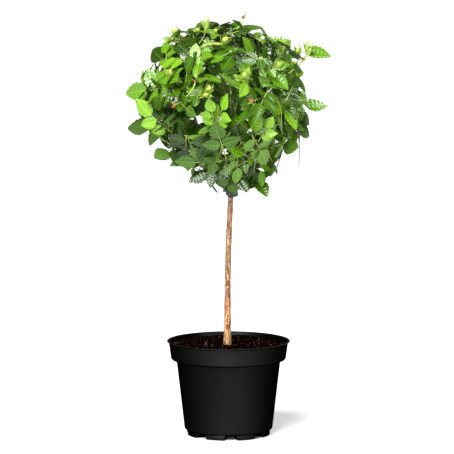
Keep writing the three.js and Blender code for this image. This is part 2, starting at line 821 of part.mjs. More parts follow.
// More leaves reach for the places on the crown's outside that are still bare, on a further twig
// where none is near.
function growFillingLeaf(i) {
  const draw = dice(50000 + i);
  const target = shellPoint(i, crown.fillings, crown.fillingDepth);
  if (placed.leaflets.some(({ middle }) => middle.distanceTo(target) < leaf.bare)) return;
  const mass = masses.find((candidate) => depthInSpace(target, candidate) > 0);
  const atBorder = depthInSpace(target, mass) < 2 * crown.border;
  const size = sizeAt(target, draw) * (atBorder ? leaf.squeezed : 1);
  const roots = mass.limbs
    .flatMap(({ curve }) => [0.3, 0.42, 0.54, 0.66, 0.78, 0.9].map((share) => curve.getPoint(share)))
    .map((root) => ({ root, miss: Math.abs(root.distanceTo(target) - 1.1 * size) }))
    .filter(({ miss }) => miss < 0.8 * size)
    .sort((one, other) => one.miss - other.miss)
    .slice(0, 3);
  if (roots.some(({ root }) => growLeafTowards(mass, root, target, size, draw))) return;
  const end = crownHeart.clone().lerp(target, crown.depth);
  while (depthInSpace(end, mass) < crown.border) end.lerp(mass.centre, 0.06);
  const curve = growTwig(mass, end);
  if (curve && growLeafTowards(mass, curve.getPoint(0.94), target, size, draw)) keepTwig(mass, curve);
}

// A flower shoot: a slim stalk from the nearest twig of its mass, that swells into a bud at its end.
// Its upper flanks are drawn out into sepals.
function growBud(tip) {
  const mass = masses.find((candidate) => depthInSpace(tip, candidate) > 0);
  const roots = mass.limbs.flatMap(({ curve }) => [0.35, 0.6, 0.85].map((share) => curve.getPoint(share)));
  const cost = (root) => root.distanceTo(tip) + Math.max(0, root.z - tip.z + 20) * 3;
  const root = roots.reduce((best, other) => (cost(other) < cost(best) ? other : best));
  const base = tip.clone().addScaledVector(UP, -bud.height);
  const lean = base.clone().lerp(root, 0.15).setZ((root.z + base.z) / 2);
  const stalk = new Bends(new THREE.QuadraticBezierCurve3(root, lean, base), 2);
  mass.buds.push(stalk);
  placed.stalks.push(...stalk.stretches(), [base, tip]);
}

function budSolid(stalk) {
  const base = stalk.points.at(-1);
  const up = base.clone().sub(stalk.points.at(-2)).lerp(UP, 0.5).normalize();
  const rings = stalk.points.map((point) => [point, bud.stalkRadius]);
  for (const [rise, radius] of [[0.3, bud.radius], [0.75, bud.radius * 0.66]]) {
    rings.push([base.clone().addScaledVector(up, rise * bud.height), radius]);
  }
  const side = new THREE.Vector3(1, 0, 0).addScaledVector(up, -up.x).normalize();
  const across = up.clone().cross(side);
  const corner = ([centre, radius], i) => {
    const turn = (i * 2 * Math.PI) / bud.sepals;
    return centre
      .clone()
      .addScaledVector(side, radius * Math.cos(turn))
      .addScaledVector(across, radius * Math.sin(turn));
  };
  const triangles = [];
  const top = base.clone().addScaledVector(up, bud.height);
  for (let i = 0; i < bud.sepals; i++) {
    triangles.push([rings[0][0], corner(rings[0], i + 1), corner(rings[0], i)]);
    triangles.push([top, corner(rings.at(-1), i), corner(rings.at(-1), i + 1)]);
    for (let k = 0; k + 1 < rings.length; k++) {
      const [a, b] = [corner(rings[k], i), corner(rings[k], i + 1)];
      const [d, c] = [corner(rings[k + 1], i), corner(rings[k + 1], i + 1)];
      if (k + 2 < rings.length) {
        triangles.push([a, b, c], [a, c, d]);
      } else {
        const sepal = corner([base, bud.sepalSpread], i + 0.5).addScaledVector(up, bud.sepalRise);
        triangles.push([a, b, sepal], [b, c, sepal], [c, d, sepal], [d, a, sepal]);
      }
    }
  }
  return solidOf(new THREE.BufferGeometry().setFromPoints(triangles.flat()));
}

function makeMass(mass) {
  const { limbs, leaves } = mass;
  const solids = limbs.map(({ curve, root, tip, steps }) =>
    solidOf(limb(curve, taper(root, tip), curve === limbs[0].curve ? 4 : 3, steps)),
  );
  solids.push(...leaves.map(leafSolid));
  solids.push(...mass.buds.map(budSolid));
  return geometryOf(fuse(solids));
}

// The plant as a scene graph

const paint = (color, roughness) => new THREE.MeshStandardMaterial({ color, roughness, metalness: 0 });
const materials = {
  pot: paint(0x1c1d1d, 0.45),
  soil: paint(0x1d100c, 0.95),
  bark: paint(0xb98a5c, 0.8),
  graft: paint(0x55504f, 0.85),
  cane: paint(0x7d8f3a, 0.6),
  leaf: paint(0x4f8a2a, 0.45),
};

const plant = new THREE.Group();
plant.name = "standard_rose";

function add(name, geometry, material) {
  const mesh = new THREE.Mesh(geometry, material);
  mesh.name = name;
  plant.add(mesh);
}

add("pot", makePot(), materials.pot);
add("soil", makeSoil(solidOf(makeTrunk(CLEARANCE))), materials.soil);
add("trunk", makeTrunk(), materials.bark);
add("graft", geometryOf(solidOf(makeUnion()).subtract(solidOf(makeTrunk(CLEARANCE)))), materials.graft);

masses.forEach((mass) => {
  const radius = taper(bough.rootRadius, bough.tipRadius);
  const whole = solidOf(limb(mass.bough, radius, bough.sides, bough.steps));
  const outside = whole.subtract(solidOf(makeUnion(CLEARANCE)));
  add(`bough_${mass.name}`, geometryOf(fuse([outside])), materials.cane);
});
masses.forEach(growLimbs);
for (const tip of budTips) growBud(new THREE.Vector3(...tip));
leafTips.forEach((tip, i) => growReachingLeaf(new THREE.Vector3(...tip), i));
masses.forEach(growFirstLeaves);
for (let i = 0; i < crown.fillings; i++) growFillingLeaf(i);
for (const mass of masses) add(`leaves_${mass.name}`, makeMass(mass), materials.leaf);

export default plant;
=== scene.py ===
# %% [markdown]
# A standard rose in a nursery pot
#
# A standard, or lollipop, is a bush grafted on the top of a bare stem. This one is a patio rose in leaf
# and green bud: a round head of glossy leaves over a tan stem, in a black plastic pot. The solids of
# the pot, the soil, the stem and the head are loaded first, because they fix every size and place.
# Each piece below then stands for one or more of them, with the finer shape and the finish on it.

import math
import random

import bpy
import numpy as np
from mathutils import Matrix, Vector, noise


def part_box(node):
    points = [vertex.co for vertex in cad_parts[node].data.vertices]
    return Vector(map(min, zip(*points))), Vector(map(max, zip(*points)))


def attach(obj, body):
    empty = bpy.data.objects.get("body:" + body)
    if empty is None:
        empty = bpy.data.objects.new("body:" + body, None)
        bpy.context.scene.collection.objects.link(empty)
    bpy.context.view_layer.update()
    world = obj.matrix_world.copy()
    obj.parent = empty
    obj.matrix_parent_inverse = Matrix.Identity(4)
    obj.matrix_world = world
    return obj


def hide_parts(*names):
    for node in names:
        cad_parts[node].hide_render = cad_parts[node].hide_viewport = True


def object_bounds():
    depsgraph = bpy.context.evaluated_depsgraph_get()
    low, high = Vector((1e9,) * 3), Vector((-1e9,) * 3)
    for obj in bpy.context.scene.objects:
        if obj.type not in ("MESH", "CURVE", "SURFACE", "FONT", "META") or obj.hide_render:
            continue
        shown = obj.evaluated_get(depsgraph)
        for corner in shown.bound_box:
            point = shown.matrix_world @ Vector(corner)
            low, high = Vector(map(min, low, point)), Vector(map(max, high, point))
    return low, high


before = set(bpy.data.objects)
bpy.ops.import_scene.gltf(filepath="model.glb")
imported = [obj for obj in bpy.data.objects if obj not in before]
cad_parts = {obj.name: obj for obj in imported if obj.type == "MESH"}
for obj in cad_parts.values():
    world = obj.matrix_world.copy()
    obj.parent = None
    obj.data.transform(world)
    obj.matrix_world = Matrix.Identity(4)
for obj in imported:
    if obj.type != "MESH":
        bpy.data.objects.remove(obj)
cad_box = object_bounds()
MM = 0.001
print("solids:", len(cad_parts), "box:", [[round(v, 3) for v in corner] for corner in cad_box])

# %% [markdown]
# Selecting, shaping and naming
#
# An operator acts on all that is selected, and a fresh piece often follows an older one. Small helpers
# keep that tidy. One clears the selection, and one gives a finished piece its name, its finishes, the
# body that it moves with, and the solids that it stands for. The others read a piece's points, move
# them, and smooth its faces.


# %% Helpers for pieces
def deselect_all():
    if bpy.context.object and bpy.context.object.mode != "OBJECT":
        bpy.ops.object.mode_set(mode="OBJECT")
    bpy.ops.object.select_all(action="DESELECT")


def finish_piece(piece, name, finishes, nodes=()):
    piece.name = name
    piece.data.name = name
    piece.data.materials.clear()
    for finish in finishes:
        piece.data.materials.append(finish.material)
    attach(piece, "root")
    if nodes:
        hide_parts(*nodes)
    print(name, len(piece.data.polygons), "faces")
    return piece


def vertices_of(piece):
    points = np.zeros(len(piece.data.vertices) * 3)
    piece.data.vertices.foreach_get("co", points)
    return points.reshape(-1, 3)


def move_vertices(piece, points):
    piece.data.vertices.foreach_set("co", np.asarray(points, float).ravel())
    piece.data.update()


def smooth(piece, degrees):
    deselect_all()
    piece.select_set(True)
    bpy.context.view_layer.objects.active = piece
    bpy.ops.object.shade_smooth_by_angle(angle=math.radians(degrees))


# %% [markdown]
# Shader arithmetic
#
# A finish is a small graph of nodes. Written node by node it is long and hard to read, so a socket is
# wrapped in a class whose operators add Math nodes: the product of two masks is then just a * b. One
# method of the finish makes every other node, from its type, its settings and its inputs. Most small
# parts need no more than one noise that wanders between two colours, which the last helper makes.


# %% Sockets that calculate
class Wire:
    """An output of a node. Arithmetic on it adds Math nodes."""

    def __init__(self, finish, socket):
        self.finish = finish
        self.socket = socket

    def __add__(self, other):
        return self.finish.math("ADD", self, other)

    def __radd__(self, other):
        return self.finish.math("ADD", other, self)

    def __sub__(self, other):
        return self.finish.math("SUBTRACT", self, other)

    def __rsub__(self, other):
        return self.finish.math("SUBTRACT", other, self)

    def __mul__(self, other):
        return self.finish.math("MULTIPLY", self, other)

    def __rmul__(self, other):
        return self.finish.math("MULTIPLY", other, self)


# %% A finish and its nodes
class Finish:
    """A material made of a principled shader and the nodes that feed it."""

    def __init__(self, name, **fixed):
        self.material = bpy.data.materials.new(name)
        self.material.use_nodes = True
        self.tree = self.material.node_tree
        self.shader = self.tree.nodes["Principled BSDF"]
        for socket, value in fixed.items():
            self.feed(self.shader.inputs[socket.replace("_", " ")], value)

    def feed(self, socket, value):
        if isinstance(value, Wire):
            self.tree.links.new(value.socket, socket)
        elif isinstance(value, tuple) and len(value) == 3 and socket.type == "RGBA":
            socket.default_value = (*value, 1)
        else:
            socket.default_value = value

    def node(self, kind, settings, inputs, output=0):
        node = self.tree.nodes.new(kind)
        for key, value in settings.items():
            if key == "stops":
                stretch_ramp(node.color_ramp, value)
            else:
                setattr(node, key, value)
        for key, value in inputs.items():
            self.feed(node.inputs[key], value)
        return Wire(self, node.outputs[output])

    def math(self, operation, one, other):
        return self.node("ShaderNodeMath", {"operation": operation}, {0: one, 1: other})

    def place(self, stretch=(1, 1, 1)):
        spot = self.node("ShaderNodeTexCoord", {}, {}, "Object")
        return self.node("ShaderNodeMapping", {}, {"Vector": spot, "Scale": stretch})

    def noise(self, scale, detail, stretch=(1, 1, 1)):
        inputs = {"Vector": self.place(stretch), "Scale": scale, "Detail": detail}
        return self.node("ShaderNodeTexNoise", {}, inputs, 0)

    def ramp(self, value, *stops):
        return self.node("ShaderNodeValToRGB", {"stops": stops}, {"Fac": value})

    def between(self, share, one, other):
        return self.node("ShaderNodeMix", {"data_type": "RGBA"}, {0: share, 6: one, 7: other}, 2)

    def bump(self, height, distance, strength):
        inputs = {"Height": height, "Distance": distance, "Strength": strength}
        self.feed(self.shader.inputs["Normal"], self.node("ShaderNodeBump", {}, inputs))

    def paint(self, color, roughness):
        self.feed(self.shader.inputs["Base Color"], color)
        self.feed(self.shader.inputs["Roughness"], roughness)

    def coat(self, weight, power=1):
        """A clear gloss that fades where the surface turns edge-on."""
        towards = 1 - self.node("ShaderNodeLayerWeight", {}, {"Blend": 0.5}, "Facing")
        gloss = towards
        for _ in range(power - 1):
            gloss = gloss * towards
        self.feed(self.shader.inputs["Coat Weight"], gloss * weight)


# %% Ramps, greys and mottled finishes
def stretch_ramp(ramp, stops):
    while len(ramp.elements) < len(stops):
        ramp.elements.new(0.5)
    for element, (place, color) in zip(ramp.elements, stops):
        element.position = place
        element.color = (*color, 1)


def grey(value):
    return (value, value, value)


def mottled(name, scale, detail, low, high, roughness, drift=0, **fixed):
    """A finish that wanders between two colours and, by its drift, in roughness too."""
    finish = Finish(name, **fixed)
    mottle = finish.noise(scale, detail)
    finish.paint(finish.between(mottle, low, high), roughness + mottle * drift if drift else roughness)
    return finish


# %% [markdown]
# Round pieces, ring by ring
#
# The pot, the soil and the stem are all round in section. Each is modelled as a potter would pull it
# up: a filled circle is extruded, moved and scaled to the next ring, again and again. A profile turned
# by a modifier would do for the pot, but not for the stem, which bends a little on its way up.


# %% Helper for round pieces
def pull_up(rings, sides):
    """A closed piece through rings of (x, y, z, radius)."""
    deselect_all()
    x, y, z, radius = rings[0]
    bpy.ops.mesh.primitive_circle_add(vertices=sides, radius=radius, fill_type="NGON", location=(x, y, z))
    bpy.ops.object.transform_apply(location=True)
    bpy.ops.object.mode_set(mode="EDIT")
    bpy.ops.mesh.select_all(action="SELECT")
    for next_x, next_y, next_z, next_radius in rings[1:]:
        step = (next_x - x, next_y - y, next_z - z)
        bpy.ops.mesh.extrude_region_move(TRANSFORM_OT_translate={"value": step})
        grow = next_radius / radius
        bpy.ops.transform.resize(value=(grow, grow, 1), center_override=(next_x, next_y, next_z))
        x, y, z, radius = next_x, next_y, next_z, next_radius
    return bpy.context.object


def upright(*rings):
    """Rings round the middle axis, from pairs of height and radius."""
    return [(0, 0, z, radius) for z, radius in rings]


def close_up():
    bpy.ops.mesh.select_all(action="SELECT")
    bpy.ops.mesh.normals_make_consistent(inside=False)
    bpy.ops.object.mode_set(mode="OBJECT")
    return bpy.context.object


# %% [markdown]
# The nursery pot
#
# Such a pot is blow-moulded or injected from black recycled plastic. It has a plain conical wall, a
# deep collar with a rounded lower edge that lets pots stack and be lifted, a thin rolled rim, and a
# raised floor on a ring of feet with gaps that drain. Its height and width are read from the solid, the
# wall is thinned to a real pot's, and the collar's lower edge is an arc, as the light on it is soft.

# %% Sizes of the pot
pot_low, pot_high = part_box("pot")
POT_HEIGHT = pot_high.z
RIM_RADIUS = (pot_high.x - pot_low.x) / 2
RIM_HEIGHT = 2.4 * MM
LIP_RADIUS = RIM_RADIUS + 1 * MM
LIP_ROUND = 0.9 * MM
COLLAR_TOP_RADIUS = 112.4 * MM
COLLAR_BOTTOM_RADIUS = 108.6 * MM
COLLAR_Z = POT_HEIGHT - 36.2 * MM
COLLAR_ROUND = 5.5 * MM
WALL_TOP_RADIUS = 97.8 * MM
WALL_BOTTOM_RADIUS = 83.2 * MM
WALL = 1.2 * MM
HEEL = 5 * MM
FOOT_HEIGHT = 9.5 * MM
FOOT_RADIUS = 78.5 * MM
FOOT_INNER_RADIUS = 56 * MM
CENTRE_FOOT_RADIUS = 18 * MM
NOTCHES = 8
NOTCH_TOP_WIDTH = 20.6 * MM
NOTCH_BOTTOM_WIDTH = 25 * MM
NOTCH_TURN = math.radians(3.5)
PAD_SINK = 1.6 * MM
PAD_STEPS = 10
POT_SIDES = 128
print("pot", round(POT_HEIGHT, 3), "high,", round(2 * RIM_RADIUS, 3), "across")


# %% Model the pot's shell
def arc(radius_from, z_from, radius, start, end, steps):
    """Rings round a small arc of the profile, whose centre is given by radius and height."""
    turns = [math.radians(start + (end - start) * i / steps) for i in range(steps + 1)]
    return [(0, 0, z_from + radius * math.sin(t), radius_from + radius * math.cos(t)) for t in turns]


def pot_rings():
    rings = upright((FOOT_HEIGHT, FOOT_RADIUS - 6 * MM))
    rings += arc(WALL_BOTTOM_RADIUS - HEEL, FOOT_HEIGHT + HEEL, HEEL, -90, -7, 5)
    rings += upright((COLLAR_Z - 1.5 * MM, WALL_TOP_RADIUS), (COLLAR_Z, WALL_TOP_RADIUS + 1 * MM))
    rings += arc(COLLAR_BOTTOM_RADIUS - COLLAR_ROUND, COLLAR_Z + COLLAR_ROUND, COLLAR_ROUND, -80, 8, 7)
    rings += upright((POT_HEIGHT - RIM_HEIGHT - 1 * MM, COLLAR_TOP_RADIUS))
    rings += arc(LIP_RADIUS - LIP_ROUND, POT_HEIGHT - 1.1 * MM, LIP_ROUND, -70, 80, 5)
    return rings + upright(
        (POT_HEIGHT, LIP_RADIUS - 2.2 * MM),
        (POT_HEIGHT - 1.2 * MM, COLLAR_TOP_RADIUS - WALL),
        (COLLAR_Z + COLLAR_ROUND, COLLAR_BOTTOM_RADIUS - WALL),
        (COLLAR_Z + WALL, WALL_TOP_RADIUS - WALL),
        (FOOT_HEIGHT + HEEL, WALL_BOTTOM_RADIUS - WALL),
        (FOOT_HEIGHT + WALL, WALL_BOTTOM_RADIUS - HEEL),
    )


pull_up(pot_rings(), POT_SIDES)
pot = close_up()
print("pot shell", len(pot.data.polygons), "faces")

# %% [markdown]
# The feet
#
# The pot stands on eight pads round its edge and on a round one in the middle. A pad is one cross
# section swept round the axis, which the spin operator does. Its ends slant, so that the gaps between
# pads are wider at the floor, and water runs out under them. Each pad stands a little way up into the
# pot's floor, which joins the two.


# %% Spin one pad for each gap
def spin_pad(turn):
    deselect_all()
    pitch = 2 * math.pi / NOTCHES
    gap_top = NOTCH_TOP_WIDTH / FOOT_RADIUS
    gap_bottom = NOTCH_BOTTOM_WIDTH / FOOT_RADIUS
    middle = ((FOOT_RADIUS + FOOT_INNER_RADIUS) / 2, 0, FOOT_HEIGHT / 2)
    bpy.ops.mesh.primitive_plane_add(size=1, location=middle, rotation=(math.pi / 2, 0, 0))
    bpy.context.object.scale = (FOOT_RADIUS - FOOT_INNER_RADIUS, FOOT_HEIGHT + PAD_SINK, 1)
    bpy.context.object.location.z += PAD_SINK / 2
    bpy.ops.object.transform_apply(location=True, rotation=True, scale=True)
    bpy.ops.object.mode_set(mode="EDIT")
    bpy.ops.mesh.select_all(action="SELECT")
    sweep = pitch - gap_top
    bpy.ops.mesh.spin(steps=PAD_STEPS, angle=sweep, center=(0, 0, 0), axis=(0, 0, 1), use_auto_merge=False)
    pad = close_up()
    points = vertices_of(pad)
    angle = np.arctan2(points[:, 1], points[:, 0])
    low = points[:, 2] < FOOT_HEIGHT / 2
    first, last = angle.min(), angle.max()
    squeeze = 1 - np.where(low, (gap_bottom - gap_top) / (last - first), 0)
    angle = (angle - (first + last) / 2) * squeeze + turn
    radius = np.hypot(points[:, 0], points[:, 1])
    move_vertices(pad, np.column_stack([radius * np.cos(angle), radius * np.sin(angle), points[:, 2]]))
    return pad


pads = [spin_pad(-math.pi / 2 + NOTCH_TURN + (i + 0.5) * 2 * math.pi / NOTCHES) for i in range(NOTCHES)]
foot_rings = [(0, CENTRE_FOOT_RADIUS - 1 * MM), (1 * MM, CENTRE_FOOT_RADIUS)]
foot_rings += [(FOOT_HEIGHT + 0.5 * MM, CENTRE_FOOT_RADIUS)]
pull_up(upright(*foot_rings), 48)
centre_foot = close_up()
print("feet", len(pads) + 1)


# %% Join the pot
def join(main, others):
    deselect_all()
    for other in others:
        other.select_set(True)
    main.select_set(True)
    bpy.context.view_layer.objects.active = main
    bpy.ops.object.join()
    return main


def bevel(piece, width, segments=2):
    edge = piece.modifiers.new("edge", "BEVEL")
    edge.width = width
    edge.segments = segments
    edge.limit_method = "ANGLE"
    bpy.context.view_layer.objects.active = piece
    bpy.ops.object.modifier_apply(modifier=edge.name)


for pad in pads:
    deselect_all()
    pad.select_set(True)
    bevel(pad, 1.2 * MM)
pot = join(pot, [*pads, centre_foot])
smooth(pot, 35)

# %% [markdown]
# Black moulded plastic
#
# The plastic is satin: it shows broad soft light down its middle and goes black at the sides. It is
# never quite even, so the roughness drifts over hand-sized patches, the mould's fine grain shows as a
# very low bump, and a little dust lies on it in spots. The top of the rim takes a second finish, duller
# and a touch lighter and browner, which is a painted highlight along the rim. The gloss is a coat that fades
# edge-on.

# %% Finish of the pot
BLACK = grey(0.0008)
plastic = Finish("black_plastic", Specular_IOR_Level=0.0, Coat_Roughness=0.38)
patches = plastic.noise(22, 4)
dust = plastic.ramp(plastic.noise(160, 5), (0.52, grey(0)), (0.74, grey(0.5)))
tone = plastic.between(patches, grey(0.0004), BLACK)
plastic.paint(plastic.between(dust * 0.02, tone, (0.05, 0.044, 0.04)), 0.5 + patches * 0.14)
plastic.coat(0.37, 5)
# The rim's top is painted a touch lighter and browner than the black plastic, as a painted highlight.
rim_highlight = mottled("rim_painted_highlight", 90, 5, BLACK, (0.01, 0.008, 0.0075), 0.5, 0.2, Specular_IOR_Level=0.02)
for finish in (plastic, rim_highlight):
    finish.bump(finish.noise(1400, 2), 0.12 * MM, 0.35)
finish_piece(pot, "nursery_pot", [plastic, rim_highlight], ["pot"])
# Faces on the rim's top take the finish with the painted highlight.
for face in pot.data.polygons:
    face.material_index = int(face.center.z > POT_HEIGHT - 0.7 * MM)

# %% [markdown]
# The compost
#
# The pot is filled to just under its rim with dark, moist compost: fine peat, bark crumbs and a few
# pale grains. A bump alone would look flat from above, so the top is a fine net of rings that noise
# lifts into lumps, and loose crumbs lie on it. The block below is whole, down to the pot's floor.

# %% Sizes of the soil
soil_low, soil_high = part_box("soil")
SOIL_LEVEL = 169 * MM
SOIL_EDGE_RADIUS = 109.6 * MM
SOIL_RINGS = 34
CRUMBS = 2600
CRUMB_SHARES = [0.72, 0.22, 0.06]  # of peat, bark and pale grains
SMALLEST_CRUMB, CRUMB_RANGE = 0.5, 1.2  # in mm
SOIL_FLOOR = soil_low.z
print("soil solid from", round(SOIL_FLOOR, 3), "to", round(soil_high.z, 3))


# %% Model the soil
def soil_rings():
    return upright(
        (SOIL_FLOOR, WALL_BOTTOM_RADIUS - 6 * MM),
        (FOOT_HEIGHT + 6 * MM, WALL_BOTTOM_RADIUS - 2.4 * MM),
        (COLLAR_Z + 2 * MM, WALL_TOP_RADIUS - 2.4 * MM),
        (COLLAR_Z + 9 * MM, COLLAR_BOTTOM_RADIUS - 3 * MM),
        (SOIL_LEVEL, SOIL_EDGE_RADIUS),
    )


def soil_height(x, y):
    """The lumpy top: hand-pressed swells, lumps and fine crumbs, and a small rise round the stem."""
    radius = math.hypot(x, y)
    swell = 1.6 * noise.noise(Vector((x * 22, y * 22, 1.7)))
    lumps = 1.5 * noise.noise(Vector((x * 85, y * 85, 4.2)))
    fine = 0.9 * noise.noise(Vector((x * 230, y * 230, 9.1)))
    rise = 1.6 * math.exp(-((radius / 0.028) ** 2))
    bank = (2.6 + 1.6 * noise.noise(Vector((x * 40, y * 40, 6.3)))) * (radius / SOIL_EDGE_RADIUS) ** 5
    return SOIL_LEVEL + (swell + lumps + fine + rise + bank - 0.6) * MM


pull_up(soil_rings(), 112)
for _ in range(SOIL_RINGS):
    bpy.ops.mesh.inset(thickness=SOIL_EDGE_RADIUS / (SOIL_RINGS + 1))
soil = close_up()
points = vertices_of(soil)
for k in np.flatnonzero(points[:, 2] > SOIL_LEVEL - 8 * MM):
    x, y, _ = points[k]
    points[k, 2] = soil_height(x, y)
move_vertices(soil, points)
smooth(soil, 60)
print("soil", len(soil.data.polygons), "faces")

# %% Finish of the soil
compost = Finish("compost", Specular_IOR_Level=0.0)
fibres = compost.noise(420, 5)
clods = compost.noise(90, 3)
darkness = compost.ramp(
    fibres * 0.7 + clods * 0.3,
    (0.32, (0.0005, 0.0001, 0.0001)),
    (0.55, (0.0014, 0.0004, 0.0003)),
    (0.75, (0.0055, 0.0018, 0.0012)),
)
compost.paint(darkness, 0.82 + fibres * 0.12)
compost.bump(fibres, 1.2 * MM, 0.8)
finish_piece(soil, "compost", [compost], ["soil"])

# %% [markdown]
# Many small things in one mesh
#
# Crumbs, twigs, leaves and buds come in hundreds. Each kind is modelled once or worked out by a
# formula, and its copies are gathered as plain arrays into one mesh, because thousands of separate
# objects would be slow and the copies never move by themselves.


# %% Gather small shapes
class Gathering:
    """Points and faces of many small shapes, each face with the number of its finish."""

    def __init__(self):
        self.points = []
        self.faces = []
        self.tones = []
        self.count = 0

    def add(self, points, faces, tones):
        shift = self.count
        self.points.append(points)
        self.faces.extend([tuple(shift + corner for corner in face) for face in faces])
        self.tones.extend(tones)
        self.count += len(points)

    def build(self):
        mesh = bpy.data.meshes.new("gathering")
        mesh.from_pydata(np.concatenate(self.points).tolist(), [], self.faces)
        piece = bpy.data.objects.new("gathering", mesh)
        bpy.context.scene.collection.objects.link(piece)
        return piece

    def finish(self, name, slot, finishes, nodes=(), flat=lambda tone: False):
        piece = self.build()
        finish_piece(piece, name, finishes, nodes)
        piece.data.polygons.foreach_set("material_index", self.tones)
        piece.data.polygons.foreach_set("use_smooth", [not flat(tone) for tone in self.tones])
        piece.data.update()
        return piece


def template(piece):
    """A modelled shape as arrays, for copies. The shape itself is removed."""
    points = vertices_of(piece)
    faces = [tuple(face.vertices) for face in piece.data.polygons]
    bpy.data.objects.remove(piece)
    return points, faces


def unit(vector):
    return vector / np.linalg.norm(vector)


def any_turn(draw):
    """A random rotation as a matrix of columns."""
    first = unit(np.array([draw.gauss(0, 1) for _ in range(3)]))
    second = np.array([draw.gauss(0, 1) for _ in range(3)])
    second = unit(second - first * second.dot(first))
    return np.column_stack([first, second, np.cross(first, second)])


# %% Scatter crumbs on the soil
deselect_all()
bpy.ops.mesh.primitive_ico_sphere_add(subdivisions=1, radius=1)
crumb_points, crumb_faces = template(bpy.context.object)
crumbs = Gathering()
draw = random.Random(11)
for _ in range(CRUMBS):
    radius = (SOIL_EDGE_RADIUS - 2.5 * MM) * math.sqrt(draw.uniform(0.008, 1))
    angle = draw.uniform(0, 2 * math.pi)
    spot = np.array([radius * math.cos(angle), radius * math.sin(angle), 0])
    big = draw.random() ** 3
    size = (SMALLEST_CRUMB + CRUMB_RANGE * big) * MM
    shape = crumb_points * [draw.uniform(0.7, 1.6), draw.uniform(0.6, 1), draw.uniform(0.4, 0.8)]
    spot[2] = soil_height(spot[0], spot[1]) + 0.2 * size
    tone = draw.choices([0, 1, 2], CRUMB_SHARES)[0]
    crumbs.add(spot + size * shape @ any_turn(draw).T, crumb_faces, [tone] * len(crumb_faces))

# %% Finishes of the crumbs
PEAT = ((0.00072, 0.00022, 0.00014), (0.0036, 0.0013, 0.00086))
CHIPS = ((0.0043, 0.0014, 0.00086), (0.022, 0.0094, 0.0065))
GRAINS = ((0.022, 0.0094, 0.0086), (0.12, 0.072, 0.068))
peat = mottled("peat_crumbs", 700, 3, *PEAT, 0.85, Specular_IOR_Level=0.0)
chips = mottled("bark_crumbs", 500, 3, *CHIPS, 0.75, Specular_IOR_Level=0.04)
grains = mottled("pale_grains", 600, 2, *GRAINS, 0.7, Specular_IOR_Level=0.2)
crumbs.finish("soil_crumbs", "potting_soil", [peat, chips, grains])

# %% [markdown]
# The stem
#
# The stem of a standard is one straight young rootstock cane, 28 cm long, with all its side shoots
# rubbed off. It narrows from the soil to the graft, flares where it enters the compost, and keeps
# small swellings and scars where the shoots were. Its rings follow the solid's path, and the relief
# of the bark is real: shallow grooves along it, scars and knots.

# %% Path and radius of the stem
TRUNK_PATH = np.array([
    [-2, 0, 166.9], [-1.8, 0, 250], [-0.9, 0.6, 330], [1.6, 0.4, 395], [4.2, 0, 448],
]) * MM
FLARE_RADIUS = 8.2 * MM
FOOT_RADIUS_OF_STEM = 7.1 * MM
HEAD_RADIUS = 5 * MM
KNOT = 0.28 * MM
TRUNK_RINGS = 110

# The rings that old leaves left, as height and swelling, and the scars of shoots, as height and turn
LEAF_RINGS = [
    (196, 0.25), (229, 0.4), (262, 0.25), (297, 0.4), (326, 0.3),
    (350, 0.45), (373, 0.3), (396, 0.6), (418, 0.35), (439, 0.45),
]
LEAF_RING_WIDTH = 1.9
SCARS = [
    (212, 40), (236, 210), (262, 320), (291, 120), (318, 255), (352, 20), (384, 160), (402, 285), (430, 75),
]
SCAR_HEIGHT = 3.2
SCAR_TURN = 42


def along_path(path, share):
    """A point on a smooth curve through the given points, which leans on the neighbours of each."""
    place = min(max(share, 0), 0.99999) * (len(path) - 1)
    k = int(place)
    t = place - k
    before = path[k - 1] if k > 0 else 2 * path[0] - path[1]
    after = path[k + 2] if k + 2 < len(path) else 2 * path[-1] - path[-2]
    start, end = path[k], path[k + 1]
    return 0.5 * (
        2 * start + (end - before) * t + (2 * before - 5 * start + 4 * end - after) * t**2
        + (3 * start - before - 3 * end + after) * t**3
    )


def trunk_radius(share):
    flare = (FLARE_RADIUS - FOOT_RADIUS_OF_STEM) * math.exp(-share * 28)
    knots = KNOT * math.sin(share * 47) * math.sin(share * 19)
    return FOOT_RADIUS_OF_STEM + (HEAD_RADIUS - FOOT_RADIUS_OF_STEM) * share**0.7 + flare + knots


# %% Model the stem
shares = [i / TRUNK_RINGS for i in range(TRUNK_RINGS + 1)]
pull_up([(*along_path(TRUNK_PATH, share), trunk_radius(share)) for share in shares], 28)
trunk = close_up()
points = vertices_of(trunk)
trunk_low, trunk_high = TRUNK_PATH[0, 2], TRUNK_PATH[-1, 2]
axis = np.array([along_path(TRUNK_PATH, (z - trunk_low) / (trunk_high - trunk_low)) for z in points[:, 2]])
out = points - axis
out[:, 2] = 0
for k, point in enumerate(points):
    if np.linalg.norm(out[k]) < 1 * MM:
        continue
    turn = math.degrees(math.atan2(out[k, 1], out[k, 0])) % 360
    grooves = noise.noise(Vector((point[0] * 420, point[1] * 420, point[2] * 55)))
    lumps = noise.noise(Vector((point[0] * 130, point[1] * 130, point[2] * 90)))
    relief = 0.26 * grooves + 0.3 * lumps
    for ring_z, height in LEAF_RINGS:
        relief += height * math.exp(-(((point[2] / MM - ring_z - 1.2 * grooves) / LEAF_RING_WIDTH) ** 2))
    for scar_z, scar_turn in SCARS:
        around = (turn - scar_turn + 180) % 360 - 180
        reach = ((point[2] / MM - scar_z) / SCAR_HEIGHT) ** 2 + (around / SCAR_TURN) ** 2
        relief += 0.8 * math.exp(-reach) - 0.45 * math.exp(-5 * reach)
    points[k] += unit(out[k]) * relief * MM
move_vertices(trunk, points)
smooth(trunk, 70)

# %% [markdown]
# Young bark
#
# Low down the bark is golden tan, with one reddish patch where it was rubbed. Higher up it turns to a
# pinker brown, with dark and light streaks along it, dark specks, and pale scars. The drift is a ramp on
# the height, and stretched noise gives the streaks, so both hold from every side.

